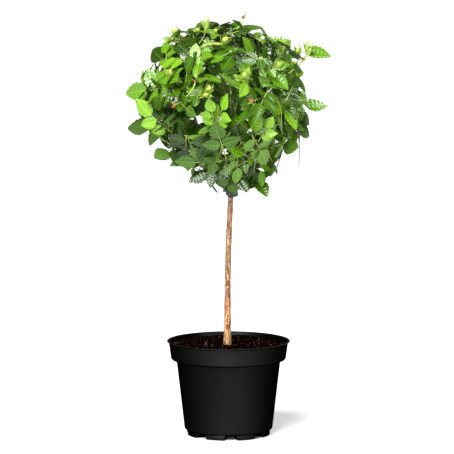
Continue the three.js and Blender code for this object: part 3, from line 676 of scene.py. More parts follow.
# %% Finish of the stem
bark = Finish("young_bark", Specular_IOR_Level=0.35)
height = bark.node("ShaderNodeSeparateXYZ", {}, {0: bark.place()}, "Z")
drift = bark.noise(60, 3) * 0.09 - 0.045
level = (height - 0.166) * 3.5
bark_colour = bark.ramp(
    level + drift,
    (0.0, (0.1, 0.045, 0.02)), (0.05, (0.37, 0.2, 0.078)), (0.2, (0.45, 0.23, 0.085)),
    (0.27, (0.36, 0.125, 0.05)), (0.33, (0.19, 0.06, 0.03)), (0.38, (0.22, 0.1, 0.045)),
    (0.6, (0.21, 0.118, 0.043)), (0.8, (0.19, 0.092, 0.05)), (1.0, (0.21, 0.1, 0.06)),
)
streaks = bark.noise(420, 4, (1, 1, 0.13))

# Each mark: its pattern, where it starts and is full, how strong it is, and its colour
MARKS = {
    "streaks": (streaks, 0.44, 0.58, 0.92, (0.07, 0.028, 0.014)),
    "lights": (bark.noise(300, 3, (1, 1, 0.2)), 0.55, 0.7, 0.8, (0.48, 0.31, 0.17)),
    "specks": (bark.noise(480, 3, (1, 1, 0.7)), 0.56, 0.63, 0.92, (0.03, 0.016, 0.01)),
    "scars": (bark.noise(250, 2, (1, 1, 0.7)), 0.66, 0.71, 0.9, (0.62, 0.47, 0.31)),
}
masks = {}
for name, (pattern, start, full, strength, colour) in MARKS.items():
    masks[name] = bark.ramp(pattern, (start, grey(0)), (full, grey(strength)))
    bark_colour = bark.between(masks[name], bark_colour, colour)
bark.paint(bark_colour, 0.5 + streaks * 0.25)
bark.bump(streaks + masks["scars"] * 0.4 - masks["specks"] * 0.4, 0.8 * MM, 0.9)
finish_piece(trunk, "stem", [bark], ["trunk"])

# %% [markdown]
# The graft
#
# The head was budded on at the stem's top, and the join has healed into a knobbly dark burl. It is a
# ball pulled out of true: noise swells it, cracks run into it, it is drawn in below, and three knobs
# stand where old wood was cut back. Its grey-black skin is cracked and dull, with paler bluish-grey
# patches on the knots painted on as highlights.

# %% Model the graft
union_low, union_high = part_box("graft")
print("graft solid", round(union_high.z - union_low.z, 3), "high")
UNION_CENTRE = np.array([4.8, 0, 459]) * MM
UNION_RADIUS = 11 * MM
UNION_HEIGHT = 27 * MM
CUT_WOOD = [([0.8, -0.35, -0.45], 5.5), ([-0.7, -0.5, 0.35], 4), ([0.1, 1, 0], 4)]  # direction, height
knob_aims = [(unit(np.array(aim)), height) for aim, height in CUT_WOOD]
deselect_all()
bpy.ops.mesh.primitive_uv_sphere_add(segments=40, ring_count=28, radius=1, location=UNION_CENTRE)
graft = bpy.context.object
graft.scale = (UNION_RADIUS * 0.96, UNION_RADIUS * 0.96, UNION_HEIGHT / 2)
graft.rotation_euler = (0, math.radians(12), 0)
bpy.ops.object.transform_apply(location=True, rotation=True, scale=True)
points = vertices_of(graft)
for k, point in enumerate(points):
    away = unit(point - UNION_CENTRE)
    lump = noise.noise(Vector(point * 110)) * 2.6 + noise.noise(Vector(point * 330)) * 1.2
    crack = -abs(noise.noise(Vector(point * 210))) * 1.4
    knobs = sum(height * math.exp(-9 * (1 - away.dot(aim))) for aim, height in knob_aims)
    waist = -1.8 * max(0, -away[2]) * (1 - away[0])
    points[k] = point + away * (lump + crack + knobs + waist) * MM
move_vertices(graft, points)
smooth(graft, 60)

# %% Finish of the graft
burl = Finish("graft_burl", Specular_IOR_Level=0.3)
knots = burl.noise(190, 5)
cracks = burl.ramp(burl.noise(380, 4), (0.42, grey(1)), (0.52, grey(0)))
# The paler bluish grey that the knots' noise brings up is a painted highlight on the dark skin.
skin = burl.between(knots, (0.016, 0.015, 0.02), (0.072, 0.068, 0.083))
burl.paint(burl.between(cracks, skin, (0.0072, 0.0058, 0.0058)), 0.62 + knots * 0.2)
burl.bump(knots - cracks * 0.5, 1.5 * MM, 0.8)
finish_piece(graft, "graft_burl", [burl], ["graft"])

# %% [markdown]
# How the head grows
#
# Seven boughs rise from the graft: three low, three high and one upright. Each carries one mass of
# leaves, which keeps to its own space: all that is nearer to its centre than to another's, with gentle
# waves in the borders. The rule below is the one that made the solids, so the limbs start on the same
# axes, and it is carried on to finer twigs and real-size leaves. Every random draw is seeded.

# %% Sizes of the head
GOLDEN_ANGLE = math.pi * (3 - math.sqrt(5))
UP = np.array([0.0, 0.0, 1.0])
AXIS_X = -7 * MM
HEART = np.array([-7, 0, 600]) * MM
WAVES = 2000 * MM**2  # how strongly the borders between masses wave
BORDER = 10 * MM  # how far inside its mass a main twig ends

# The outside that twigs grow to, as height and radius
CROWN_PROFILE = np.array([
    [444, 0], [454, 34], [470, 72], [490, 100], [512, 126], [550, 146], [576, 184], [612, 194],
    [652, 192], [672, 174], [692, 157], [724, 142], [750, 132], [768, 106], [782, 56], [790, 0],
]) * MM

# The leafy outside, as height, reach to the left and reach to the right
HEAD_SIDES = np.array([
    [444, 0, 0], [456, 24, 60], [470, 36, 80], [490, 76, 98], [505, 96, 106], [520, 118, 112],
    [550, 128, 126], [575, 160, 158], [600, 178, 168], [640, 180, 162], [665, 172, 150], [690, 160, 150],
    [705, 126, 158], [735, 126, 150], [750, 112, 104], [765, 92, 78], [780, 44, 42], [790, 0, 0],
]) * MM

# The rings of boughs, each with the middle of the masses that it carries and the rise of its boughs
RINGS = [
    {"name": "low", "count": 3, "azimuth": 30, "radius": 96, "z": 552, "lift": 16, "length": 0.42},
    {"name": "high", "count": 3, "azimuth": 90, "radius": 100, "z": 664, "lift": 52, "length": 0.3},
    {"name": "top", "count": 1, "azimuth": 0, "radius": 6, "z": 745, "lift": 87, "length": 0.3},
]
BOUGH_DEPTH = 6 * MM  # how deep in its mass a bough ends
LONGEST_BOUGH = 0.9  # of the way from the graft to the mass's centre
STEM_REACH = 0.66  # of the way from the bough's end to the outside
LEAF_SIZE = 49 * MM
YOUNG_SIZE = 40 * MM
YOUNG_ABOVE = 712 * MM
SIZE_RANGE = (0.74, 1.12)
LEAF_REACH = 1.2  # from a leaf's root to its end leaflet, in leaf sizes
TURN_FROM = 20 * MM  # leaves behind this depth turn to the back, the others to the front
LEAF_PAIRS = [(0.86, 0.86), (0.36, 0.72)]  # place along the stalk, share of the end leaflet's size

# Where flower buds, red shoot tips and the leaves of the outline end
BUD_TIPS = np.array([
    [-93, 24, 767], [-42, -30, 786], [-12, -88, 764], [27, 12, 792], [93, 8, 752], [146, 4, 741],
    [84, -92, 720], [34, -132, 704], [-40, -146, 676], [-108, -80, 703],
    [62, 92, 752], [-50, 96, 757], [-104, 66, 724], [116, 88, 704],
]) * MM
YOUNG_TIPS = np.array([[-61, -126, 683], [42, -146, 648], [-96, -92, 640]]) * MM
TIPS_WITHOUT_BUD = [3]
LEAF_TIPS = np.array([
    [-137, 10, 732], [-196, -12, 645], [-189, -24, 575], [-134, -40, 527], [-76, -50, 484],
    [38, -62, 466], [74, -36, 456], [131, -24, 536], [160, -14, 573], [189, 4, 619], [190, 2, 710],
    [64, 24, 772], [-112, 46, 507], [70, 168, 640], [-80, 170, 606], [20, 128, 505], [120, 130, 560],
]) * MM


# %% Spaces of the masses
def direction(azimuth, lift):
    turn, rise = math.radians(azimuth), math.radians(lift)
    return np.array([math.cos(rise) * math.cos(turn), math.cos(rise) * math.sin(turn), math.sin(rise)])


masses = []
for ring in RINGS:
    for i in range(ring["count"]):
        azimuth = ring["azimuth"] + i * 360 / ring["count"]
        centre = direction(azimuth, 0) * ring["radius"] * MM + np.array([AXIS_X, 0, ring["z"] * MM])
        masses.append({
            "name": f"{ring['name']}_{i + 1}", "ring": ring, "azimuth": azimuth, "centre": centre,
            "phase": azimuth / 20 + ring["z"], "limbs": [], "leaves": [], "buds": [],
        })
CENTRES = np.array([mass["centre"] for mass in masses])
PHASES = np.array([mass["phase"] for mass in masses])
SPACINGS = np.linalg.norm(CENTRES[:, None] - CENTRES, axis=2) + np.eye(len(masses))


def depth_in_space(points, k):
    """How deep points lie in the space of mass k: negative outside it."""
    points = np.atleast_2d(points)
    x, y, z = (points / MM).T[:, :, None]
    wave = np.sin(x / 17 + PHASES) + np.sin(y / 15 + 2 * PHASES) + np.sin(z / 16 + 3 * PHASES)
    near = ((points[:, None] - CENTRES) ** 2).sum(2) + WAVES * wave
    gaps = (near - near[:, k : k + 1]) / (2 * SPACINGS[k])
    gaps[:, k] = np.inf
    return gaps.min(1)


def mass_at(point):
    depths = [depth_in_space(point, k)[0] for k in range(len(masses))]
    return int(np.argmax(depths))


def crown_radius(z):
    return np.interp(z, CROWN_PROFILE[:, 0], CROWN_PROFILE[:, 1], left=0, right=0)


def inside_head(points):
    """Which points lie in the leafy head: it is a little lopsided, with a radius for each side."""
    left = np.interp(points[:, 2], HEAD_SIDES[:, 0], HEAD_SIDES[:, 1])
    right = np.interp(points[:, 2], HEAD_SIDES[:, 0], HEAD_SIDES[:, 2])
    radius = np.hypot(points[:, 0] - AXIS_X, points[:, 1])
    towards_right = 0.5 + 0.5 * (points[:, 0] - AXIS_X) / np.maximum(radius, 1 * MM)
    return radius < left + (right - left) * towards_right


def inside_crown(points):
    points = np.atleast_2d(points)
    return np.hypot(points[:, 0] - AXIS_X, points[:, 1]) < crown_radius(points[:, 2])


print("masses:", ", ".join(mass["name"] for mass in masses))


# %% Boughs and stems
def bend(start, middle, end, steps=24):
    """Points on a curve that leaves start towards middle and arrives at end."""
    t = np.linspace(0, 1, steps + 1)[:, None]
    return (1 - t) ** 2 * start + 2 * t * (1 - t) * middle + t**2 * end


def at_share(path, share):
    place = min(max(share, 0), 0.99999) * (len(path) - 1)
    k = int(place)
    return path[k] + (path[k + 1] - path[k]) * (place - k)


def path_length(path):
    return np.linalg.norm(np.diff(path, axis=0), axis=1).sum()


def bough_path(k):
    mass = masses[k]
    share = mass["ring"]["length"]
    whole = mass["centre"] - UNION_CENTRE
    while share < LONGEST_BOUGH and depth_in_space(UNION_CENTRE + whole * share, k)[0] < BOUGH_DEPTH:
        share += 0.02
    end = UNION_CENTRE + whole * share
    away = direction(mass["azimuth"], mass["ring"]["lift"])
    return bend(UNION_CENTRE, UNION_CENTRE + away * 0.5 * np.linalg.norm(end - UNION_CENTRE), end, 30)


def stem_path(mass):
    start = mass["bough"][-1]
    tangent = unit(mass["bough"][-1] - mass["bough"][-2])
    away = mass["centre"] - (HEART - 40 * MM * UP)
    outside = mass["centre"].copy()
    while inside_crown(outside)[0]:
        outside += 0.02 * away
    end = start + (outside - start) * STEM_REACH
    return bend(start, start + tangent * 0.45 * np.linalg.norm(end - start), end)


for k, mass in enumerate(masses):
    mass["bough"] = bough_path(k)
    mass["stem"] = stem_path(mass)
print("bough lengths in mm:", [round(path_length(mass["bough"]) / MM) for mass in masses])

# %% [markdown]
# Keeping leaves apart
#
# Leaves in a real head slide past each other. A leaf that cuts through its neighbour is the surest
# sign of a model, so each new leaflet is tested against those that are there: none of its edges may
# pass through their blades, nor theirs through its own, and no two blades lie closer than a
# millimetre or two. Flat outlines stand for the blades in the test, which keeps it quick.

# %% Blade outline for the tests
BLADE_WIDTH = 0.66
TEST_OUTLINE = np.array([
    [0.05, 0], [0.2, 0.25], [0.42, 0.3], [0.7, 0.22], [1, 0],
    [0.7, -0.22], [0.42, -0.3], [0.2, -0.25], [0.05, 0],
])
TEST_EDGES = np.concatenate([
    np.stack([TEST_OUTLINE[:-1], TEST_OUTLINE[1:]], 1),
    [[[0.05, 0], [0.5, 0]], [[0.5, 0], [1, 0]], [[0.42, 0.3], [0.42, -0.3]]],
])
NEAREST = 1.6 * MM
SPACING = 12 * MM


def half_width(forward):
    forward = np.clip(forward, 0, 1)
    return 0.5 * BLADE_WIDTH * forward**0.6 * (1 - forward) / 0.333


# %% Keep the leaflets so far
class Blades:
    """All leaflets so far, as arrays that grow: base, axis, side, normal and length of each."""

    def __init__(self, room=9000):
        self.room = np.zeros((room, 5, 3))
        self.count = 0

    def keep(self, leaflets):
        for leaflet in leaflets:
            self.room[self.count] = leaflet
            self.count += 1

    def middles(self):
        kept = self.room[: self.count]
        return kept[:, 0] + kept[:, 1] * kept[:, 4, :1] * 0.5

    def near(self, leaflet):
        """The leaflets whose blades could reach this one, and the gap to the nearest middle."""
        kept = self.room[: self.count]
        middle = leaflet[0] + leaflet[1] * leaflet[4, 0] * 0.5
        gap = np.linalg.norm(self.middles() - middle, axis=1)
        return kept[gap < 0.56 * (kept[:, 4, 0] + leaflet[4, 0])], gap.min() if len(gap) else 1


def make_leaflet(base, along, facing, length):
    """A leaflet as rows: base, axis, side, normal, and its length in the first place of the last."""
    axis = unit(along)
    normal = unit(facing - axis * facing.dot(axis))
    return np.array([base, axis, np.cross(axis, normal), normal, [length, 0, 0]])


# %% Test a leaflet against the others
def edge_points(leaflets):
    """Ends of the test edges of some leaflets: leaflet, edge, end, xyz."""
    base, axis, side, _, size = (leaflets[:, None, None, row] for row in range(5))
    forward, sideways = TEST_EDGES[None, ..., :1], TEST_EDGES[None, ..., 1:]
    return base + size[..., :1] * (forward * axis + sideways * side)


def cuts(edges, leaflets):
    """Whether any edge (edge, end, xyz) passes through or lies close on any of the leaflets."""
    length = leaflets[:, 4, 0][:, None, None]
    offset = edges[None] - leaflets[:, None, None, 0]
    forward = np.einsum("kesx,kx->kes", offset, leaflets[:, 1]) / length
    sideways = np.einsum("kesx,kx->kes", offset, leaflets[:, 2]) / length
    height = np.einsum("kesx,kx->kes", offset, leaflets[:, 3])
    over = (forward > 0.02) & (forward < 1) & (np.abs(sideways) < half_width(forward))
    if (over & (np.abs(height) < NEAREST)).any():
        return True
    first, last = height[..., 0], height[..., 1]
    share = first / np.where(first == last, 1, first - last)
    across_forward = forward[..., 0] + share * (forward[..., 1] - forward[..., 0])
    across_sideways = sideways[..., 0] + share * (sideways[..., 1] - sideways[..., 0])
    inside = (across_forward > 0.02) & (across_forward < 1)
    inside &= np.abs(across_sideways) < half_width(across_forward)
    return bool(((first * last < 0) & inside).any())


def crosses(leaflet, blades):
    near, gap = blades.near(leaflet)
    if gap < SPACING:
        return True
    if not len(near):
        return False
    own = leaflet[None]
    return cuts(edge_points(own)[0], near) or cuts(edge_points(near).reshape(-1, 2, 3), own)


# %% Stalks and limbs to keep clear of
blades = Blades()
stalk_edges = np.zeros((6000, 2, 3))
stalk_count = 0
STALK_STRETCHES = 6


def keep_stalk(path):
    global stalk_count
    spots = path[:: max(1, len(path) // STALK_STRETCHES)]
    for start, end in zip(spots[:-1], spots[1:]):
        stalk_edges[stalk_count] = start, end
        stalk_count += 1


limb_spots = [along_path(TRUNK_PATH, share) for share in np.arange(61) / 60]
limb_radii = [FOOT_RADIUS_OF_STEM + 2 * MM] * len(limb_spots) + [UNION_RADIUS + 3 * MM]
limb_spots.append(UNION_CENTRE)
for mass in masses:
    limb_spots.extend(mass["bough"])
    limb_radii.extend([5 * MM] * len(mass["bough"]))
limb_spots, limb_radii = np.array(limb_spots), np.array(limb_radii)


def touches_limb(points):
    gaps = np.linalg.norm(points[:, None] - limb_spots, axis=2)
    return (gaps < limb_radii).any()


print("test edges per leaflet:", len(TEST_EDGES))

# %% [markdown]
# One compound leaf
#
# A rose leaf is compound: a thin stalk with two pairs of leaflets and one at its end. The end leaflet
# is the largest. The leaf faces away from the stem and up to the light, and its stalk goes one of
# several ways round the twig. Of those the leaf takes the one in which most of its leaflets find room.


# %% Place the leaflets of a leaf
OUT_SHARE = 0.65
UP_SHARE = 0.35
FACING_WANDER = 0.5
SIDE_FORWARD, SIDE_OUT = 0.38, 0.92  # where the side leaflets point
SIDE_RISE = 0.2  # how far the two rows of side leaflets fold up


def outward(point):
    return unit(point - HEART)


def wander(draw, share):
    return np.array([draw.uniform(-1, 1) for _ in range(3)]) * share


def facing_at(point, draw, turned=0.0):
    """Where a blade faces: out, up and, by the share turned, to the nearer of the front and the back."""
    away = (point - HEART) * [1, 1, 0.6]
    square = np.array([0, 1.0 if point[1] > TURN_FROM else -1.0, 0])
    out = OUT_SHARE * (1 - turned) * unit(away)
    return unit(out + UP_SHARE * UP + turned * square + wander(draw, FACING_WANDER))


def leaflets_on(base, along, facing, size, draw):
    normal = unit(facing - along * facing.dot(along))
    side = np.cross(along, normal)
    made = [make_leaflet(base + along * LEAF_REACH * size, along + wander(draw, 0.15), normal, size)]
    for place, scale in LEAF_PAIRS:
        for hand in (-1, 1):
            root = base + along * place * size + side * hand * 2 * MM
            out = along * SIDE_FORWARD + side * hand * SIDE_OUT + wander(draw, 0.2)
            tilted = normal - SIDE_RISE * hand * side + wander(draw, 0.22)
            made.append(make_leaflet(root, out, tilted, size * scale * draw.uniform(0.9, 1.05)))
    return made


# %% Find room for a leaflet
def fits(leaflet, k, within, slack):
    corners = edge_points(leaflet[None])[0, :, 0]
    if not within(corners) or depth_in_space(corners, k).min() < slack or touches_limb(corners):
        return False
    if crosses(leaflet, blades):
        return False
    kept = stalk_edges[:stalk_count]
    reach = leaflet[4, 0] + np.linalg.norm(kept[:, 1] - kept[:, 0], axis=1)
    close = kept[np.linalg.norm(kept[:, 0] - leaflet[0], axis=1) < reach]
    close = close[np.linalg.norm(close[:, 0] - leaflet[0], axis=1) > 3 * MM]
    return not len(close) or not cuts(close, leaflet[None])


BOX_MARGIN = 4 * MM
BOX_LOW = np.array(cad_box[0]) - BOX_MARGIN
BOX_HIGH = np.array(cad_box[1]) + BOX_MARGIN


def in_box(points):
    return (points > BOX_LOW).all() and (points < BOX_HIGH).all()


def in_head(points):
    return in_box(points) and inside_head(points).all()


# %% Grow a leaf where there is room
SQUEEZED = 0.8


def grow_leaf(k, base, directions, size, draw, fewest, within=in_head, slack=-6 * MM, turned=0.0, most=5):
    """A leaf that keeps as many leaflets as find room, from the fewest to the most asked for."""
    facing = facing_at(base, draw, turned)
    best = None
    for i, along in enumerate(directions):
        if best and len(best["leaflets"]) == 5:
            break
        trial_size = size * (SQUEEZED if 2 * i > len(directions) else 1)
        made = leaflets_on(base, along, facing, trial_size, draw)
        stalk = np.array([[base + along * 2 * MM, made[0][0]]])
        near, _ = blades.near(make_leaflet(base, along, facing, trial_size))
        if len(near) and cuts(stalk, near):
            continue
        if not fits(made[0], k, within, slack):
            continue
        kept = [made[0]] + [leaflet for leaflet in made[1:most] if fits(leaflet, k, within, slack)]
        if len(kept) >= max(fewest, len(best["leaflets"]) + 1 if best else 0):
            best = {"base": base, "end": made[0][0], "along": along, "leaflets": kept, "facing": facing}
    if not best:
        return False
    blades.keep(best["leaflets"])
    keep_stalk(np.array([best["base"], best["end"]]))
    best["tone_draw"] = draw.random()
    best["reaching"] = within is in_box
    masses[k]["leaves"].append(best)
    return True


# %% [markdown]
# Twigs, flower shoots and leaves, in the order that they grow
#
# First come the main twigs, which end at points spread evenly through the head. The flower shoots
# follow, because they show most, and then the leaves that reach furthest, which make the head's
# outline. Leaves then sit round each twig in golden-angle steps, finer side twigs carry more, and
# the last ones reach for whatever is still bare, first outside and then further in.


# %% Points spread over the head
OUTERMOST = 0.94


def spread_point(i, count, depth):
    """The i-th of count points spread over the head, drawn in by depth and less so at the top."""
    z, radius = CROWN_PROFILE[:, 0], CROWN_PROFILE[:, 1]
    slopes = np.hypot(np.diff(z), np.diff(radius))
    areas = np.concatenate([[0], np.cumsum(slopes * (radius[1:] + radius[:-1]))])
    wanted = (i + 0.5) / count * areas[-1]
    height, distance = np.interp(wanted, areas, z), np.interp(wanted, areas, radius)
    turn = i * GOLDEN_ANGLE
    outside = np.array([AXIS_X + distance * math.cos(turn), distance * math.sin(turn), height])
    upper = max(0, (height - HEART[2] - 40 * MM) / (150 * MM))
    return HEART + (outside - HEART) * (depth + (OUTERMOST - depth) * 0.6 * upper)


# %% Grow twigs
MAIN_TWIGS = 36
TWIG_DEPTH = 0.66


def twig_path(limb, end, back):
    """A twig that leaves a limb some way below the point that lies nearest to its end."""
    gaps = np.linalg.norm(limb - end, axis=1)
    distance = gaps.min()
    share = gaps.argmin() / (len(limb) - 1) - back * distance / path_length(limb)
    place = min(max(share, 0.04), 0.94)
    root = at_share(limb, place)
    tangent = unit(at_share(limb, place + 0.03) - root)
    return bend(root, (root + end) / 2 + tangent * 0.14 * distance, end, 12)


def clear(path, k):
    beyond = path[4:]
    return inside_crown(beyond).all() and depth_in_space(beyond, k).min() > 0 and not touches_limb(beyond)


def grow_twig(k, limb, end, shortest=18 * MM):
    for back in (0.5, 0.3, 0.75, 0.1, 1):
        path = twig_path(limb, end, back)
        if path_length(path) < shortest or not clear(path, k):
            continue
        edges = np.stack([path[2:-1], path[3:]], 1)
        if blades.count and cuts(edges, blades.room[: blades.count]):
            continue
        return path
    return None


def add_limb(k, path, root, tip):
    masses[k]["limbs"].append({"path": path, "root": root, "tip": tip})
    keep_stalk(path)


for k, mass in enumerate(masses):
    add_limb(k, mass["stem"], 2.5 * MM, 1.5 * MM)
for i in range(MAIN_TWIGS):
    end = spread_point(i, MAIN_TWIGS, TWIG_DEPTH)
    k = mass_at(end)
    while depth_in_space(end, k)[0] < BORDER:
        end = end + (masses[k]["centre"] - end) * 0.06
    path = grow_twig(k, masses[k]["stem"], end)
    if path is not None:
        add_limb(k, path, 1.5 * MM, 0.95 * MM)
print("main twigs:", sum(len(mass["limbs"]) - 1 for mass in masses))

# %% Grow flower shoots
BUD_HEIGHT = 19 * MM
DROP = {"bud": 1.25, "tip": 0.6}  # from a shoot's highest point to its end, in bud heights
SHOOT_ROOTS = (0.35, 0.6, 0.85, 1)  # shares of a limb where a shoot may start
shoots = []


def grow_shoot(tip, i, kind):
    draw = random.Random(300 + i)
    k = mass_at(tip)
    roots = [at_share(limb["path"], share) for limb in masses[k]["limbs"] for share in SHOOT_ROOTS]
    costs = [np.linalg.norm(root - tip) + 3 * max(0, root[2] - tip[2] + 20 * MM) for root in roots]
    root = roots[int(np.argmin(costs))]
    base = tip - UP * BUD_HEIGHT * DROP[kind]
    lean = base + (root - base) * 0.15
    lean[2] = (root[2] + base[2]) / 2
    path = bend(root, lean, base, 14)
    shoots.append({"path": path, "scale": draw.uniform(0.92, 1.08), "kind": kind})
    keep_stalk(path)
    keep_stalk(np.array([base, tip]))
    masses[k]["buds"].append(path)
    if kind == "tip":
        return
    for hand in range(draw.choice([1, 2, 2])):
        start = at_share(path, draw.uniform(0.62, 0.86))
        turn = draw.uniform(0, 2 * math.pi) + hand * math.pi
        out = np.array([math.cos(turn), math.sin(turn), 0])
        end = start + out * draw.uniform(10, 17) * MM + UP * draw.uniform(14, 26) * MM
        end[2] = min(end[2], base[2] - 2 * MM)
        side = bend(start, start + out * 9 * MM + UP * 5 * MM, end, 8)
        shoots.append({"path": side, "scale": draw.uniform(0.62, 0.9), "kind": "bud"})
        keep_stalk(np.array([start, end + UP * 12 * MM]))


for i, tip in enumerate(BUD_TIPS):
    grow_shoot(tip, i, "tip" if i in TIPS_WITHOUT_BUD else "bud")
for i, tip in enumerate(YOUNG_TIPS):
    grow_shoot(tip, 50 + i, "tip")
print("flower buds and shoot tips:", len(shoots))


# %% Grow leaves
def directions_round(at, turn, count=9):
    out = outward(at)
    first = unit(np.cross([1, 0, 0], out))
    second = unit(np.cross(out, first))
    ways = []
    for i in range(count):
        angle = turn + i * GOLDEN_ANGLE
        hang = -0.12 - 0.25 * max(0, (HEART[2] - at[2]) / (120 * MM))
        ways.append(unit(first * math.cos(angle) + second * math.sin(angle) + 0.42 * out + hang * UP))
    return ways


def size_at(point, draw):
    size = YOUNG_SIZE if point[2] > YOUNG_ABOVE else LEAF_SIZE
    return size * draw.uniform(*SIZE_RANGE)


TURNED_SHARE = 0.75  # how squarely the leaves of the outline face the front or the back
LEAF_HANG = 18 * MM
LEAF_EVERY = 13 * MM


def grow_reaching_leaf(tip, i):
    """A leaf whose tip reaches a given point. On a flower shoot it keeps only its end leaflet."""
    draw = random.Random(40000 + i)
    k = mass_at(tip)
    turned = TURNED_SHARE * (1 - max(0, outward(tip)[2]))
    paths = [(limb["path"], 5) for limb in masses[k]["limbs"]] + [(path, 1) for path in masses[k]["buds"]]
    trials = []
    for path, most in paths:
        for share in np.linspace(0.3, 1, 15):
            root = at_share(path, share)
            size = np.linalg.norm(root - tip) / (LEAF_REACH + 1)
            level = abs(tip[2] + LEAF_HANG - root[2])
            if 24 * MM < size < 60 * MM:
                trials.append((abs(size - LEAF_SIZE) + level, tuple(root), size, most))
    for fewest in (3, 1):
        for _, root, size, most in sorted(trials):
            along = unit(tip - np.array(root))
            few = min(fewest, most)
            if grow_leaf(k, np.array(root), [along], size, draw, few, in_box, -20 * MM, turned, most):
                return True
    return False


def grow_leaves_round(k, path, seed, most=4):
    length = path_length(path)
    for step in range(min(most, max(2, round(length / LEAF_EVERY)))):
        draw = random.Random(seed + step)
        share = 1 - (step * LEAF_EVERY + 2 * MM) / length
        if share < 0.15:
            continue
        at = at_share(path, share)
        grow_leaf(k, at, directions_round(at, draw.uniform(0, 7)), size_at(at, draw), draw, 3)


reached = [grow_reaching_leaf(tip, i) for i, tip in enumerate(LEAF_TIPS)]
print("leaves that reach the outline:", sum(reached), "of", len(reached))
for k, mass in enumerate(masses):
    for i, limb in enumerate(mass["limbs"]):
        grow_leaves_round(k, limb["path"], 1000 * k + 20 * i)
print("leaflets on the main twigs:", blades.count)

# %% Grow finer twigs with more leaves
FINE_TWIGS = 130
BARE = 13 * MM

# Rounds of further leaves: how many places are tried, how far out they lie, and the fewest leaflets
FILLINGS = [(800, 0.9, 3), (400, 0.8, 2), (600, 0.62, 2)]
LEAF_MIDDLE = 1.1  # from a leaf's root to the middle of its blades, in leaf sizes
NEAREST_ROOT, FURTHEST_ROOT = 0.35, 1.9  # from the place to the leaf's root, in leaf sizes


def nearest_limbs(k, point, count=3):
    paths = [limb["path"] for limb in masses[k]["limbs"]]
    paths.sort(key=lambda path: np.linalg.norm(path - point, axis=1).min())
    return paths[:count]


def grow_fine_twig(i):
    end = spread_point(i, FINE_TWIGS, 0.8)
    k = mass_at(end)
    if depth_in_space(end, k)[0] < 3 * MM:
        return
    for limb in nearest_limbs(k, end):
        path = grow_twig(k, limb, end, 12 * MM)
        if path is not None:
            add_limb(k, path, 1.0 * MM, 0.75 * MM)
            grow_leaves_round(k, path, 9000 + 10 * i, most=3)
            return


def grow_filling(i, count, depth, fewest, seed):
    draw = random.Random(seed + i)
    target = spread_point(i, count, depth)
    if np.linalg.norm(blades.middles() - target, axis=1).min() < BARE:
        return
    k = mass_at(target)
    size = size_at(target, draw)
    roots = [at_share(path, share) for path in nearest_limbs(k, target, 5) for share in (0.3, 0.5, 0.7, 0.9)]
    roots.sort(key=lambda root: abs(np.linalg.norm(root - target) - LEAF_MIDDLE * size))
    for root in roots[:5]:
        distance = np.linalg.norm(root - target)
        if not NEAREST_ROOT * size < distance < FURTHEST_ROOT * size:
            continue
        along = unit(target - root)
        ways = [along] + [unit(along + wander(draw, 0.4)) for _ in range(4)]
        scale = min(1, max(0.6, distance / (LEAF_MIDDLE * size)))
        if grow_leaf(k, root, ways, size * scale, draw, fewest):
            return


for i in range(FINE_TWIGS):
    grow_fine_twig(i)
print("leaflets with the finer twigs:", blades.count)
for turn, (count, depth, fewest) in enumerate(FILLINGS):
    for i in range(count):
        grow_filling(i, count, depth, fewest, 50000 + 10000 * turn)
print("leaflets in all:", blades.count, "leaves:", sum(len(mass["leaves"]) for mass in masses))

# %% [markdown]
# The blade of a leaflet
#
# A rose leaflet is oval with a drawn-out tip, toothed along its edge, folded a little at its midrib
# and quilted between its side veins. Texture could paint the veins, but the light on a glossy leaf
# comes from its shape, so the quilting is in the mesh: rows of faces slant forward like the veins and
# rise and fall by half a millimetre. Two narrow pale strips, one above and one below, make the midrib,
# and a plainer sheet makes the dull underside. Each starts as a grid, is shaped once, and is copied to
# every leaflet.

# %% Model one leaflet
BLADE_ROWS = 12
QUILT = 0.0095
RIB_ABOVE = 0.012
UNDERSIDE = -0.028
RIB_BELOW = -0.036


def grid(rows, columns):
    """A fresh grid as places along it, places across it, and faces."""
    deselect_all()
    bpy.ops.mesh.primitive_grid_add(x_subdivisions=rows, y_subdivisions=columns, size=1)
    points, faces = template(bpy.context.object)
    return points[:, 0] + 0.5, points[:, 1], faces


along, across, blade_faces = grid(BLADE_ROWS, 4)
rows = np.round(along * BLADE_ROWS)
lateral = np.round((across + 0.5) * 4) / 2 - 1
spaced = 0.012 + 0.975 * (rows / BLADE_ROWS) ** 0.94
blade_forward = spaced + 0.44 * np.abs(lateral) * spaced * (1 - spaced)
ridge = np.where(rows % 2 == 1, 1, -1)
teeth = 1 + 0.06 * ridge * (np.abs(lateral) == 1)
blade_sideways = lateral * (half_width(blade_forward) + 0.006) * teeth
fullness = np.array([0, 1, 0.5])[np.round(np.abs(lateral) * 2).astype(int)]
blade_height = QUILT * ridge * np.sin(math.pi * spaced) ** 0.5 * fullness
along, across, rib_faces = grid(5, 1)
rib_forward = 0.985 * along
rib_sideways = across * (0.028 - 0.018 * rib_forward)
rib_level = np.ones(len(rib_forward))
along, across, under_faces = grid(6, 2)
under_forward = 0.02 + 0.96 * along
under_sideways = across * 2 * half_width(under_forward) * 0.94
under_level = np.ones(len(under_forward))

# %% Join the sheets of a leaflet
# Each sheet: its points forward, sideways and in height, its faces, its finish, and which way they face
SHEETS = [
    (blade_forward, blade_sideways, blade_height, blade_faces, 0, 1),
    (rib_forward, rib_sideways, RIB_ABOVE * rib_level, rib_faces, 1, 1),
    (under_forward, under_sideways, UNDERSIDE * under_level, under_faces, 2, -1),
    (rib_forward, rib_sideways, RIB_BELOW * rib_level, rib_faces, 1, -1),
]
leaflet_faces = []
leaflet_kinds = []
shift = 0
for forward, _, _, faces, kind, way in SHEETS:
    leaflet_faces += [tuple(corner + shift for corner in face[::way]) for face in faces]
    leaflet_kinds += [kind] * len(faces)
    shift += len(forward)
leaflet_shape = [np.concatenate([sheet[part] for sheet in SHEETS]) for part in range(3)]
print("faces in a leaflet:", len(leaflet_faces))


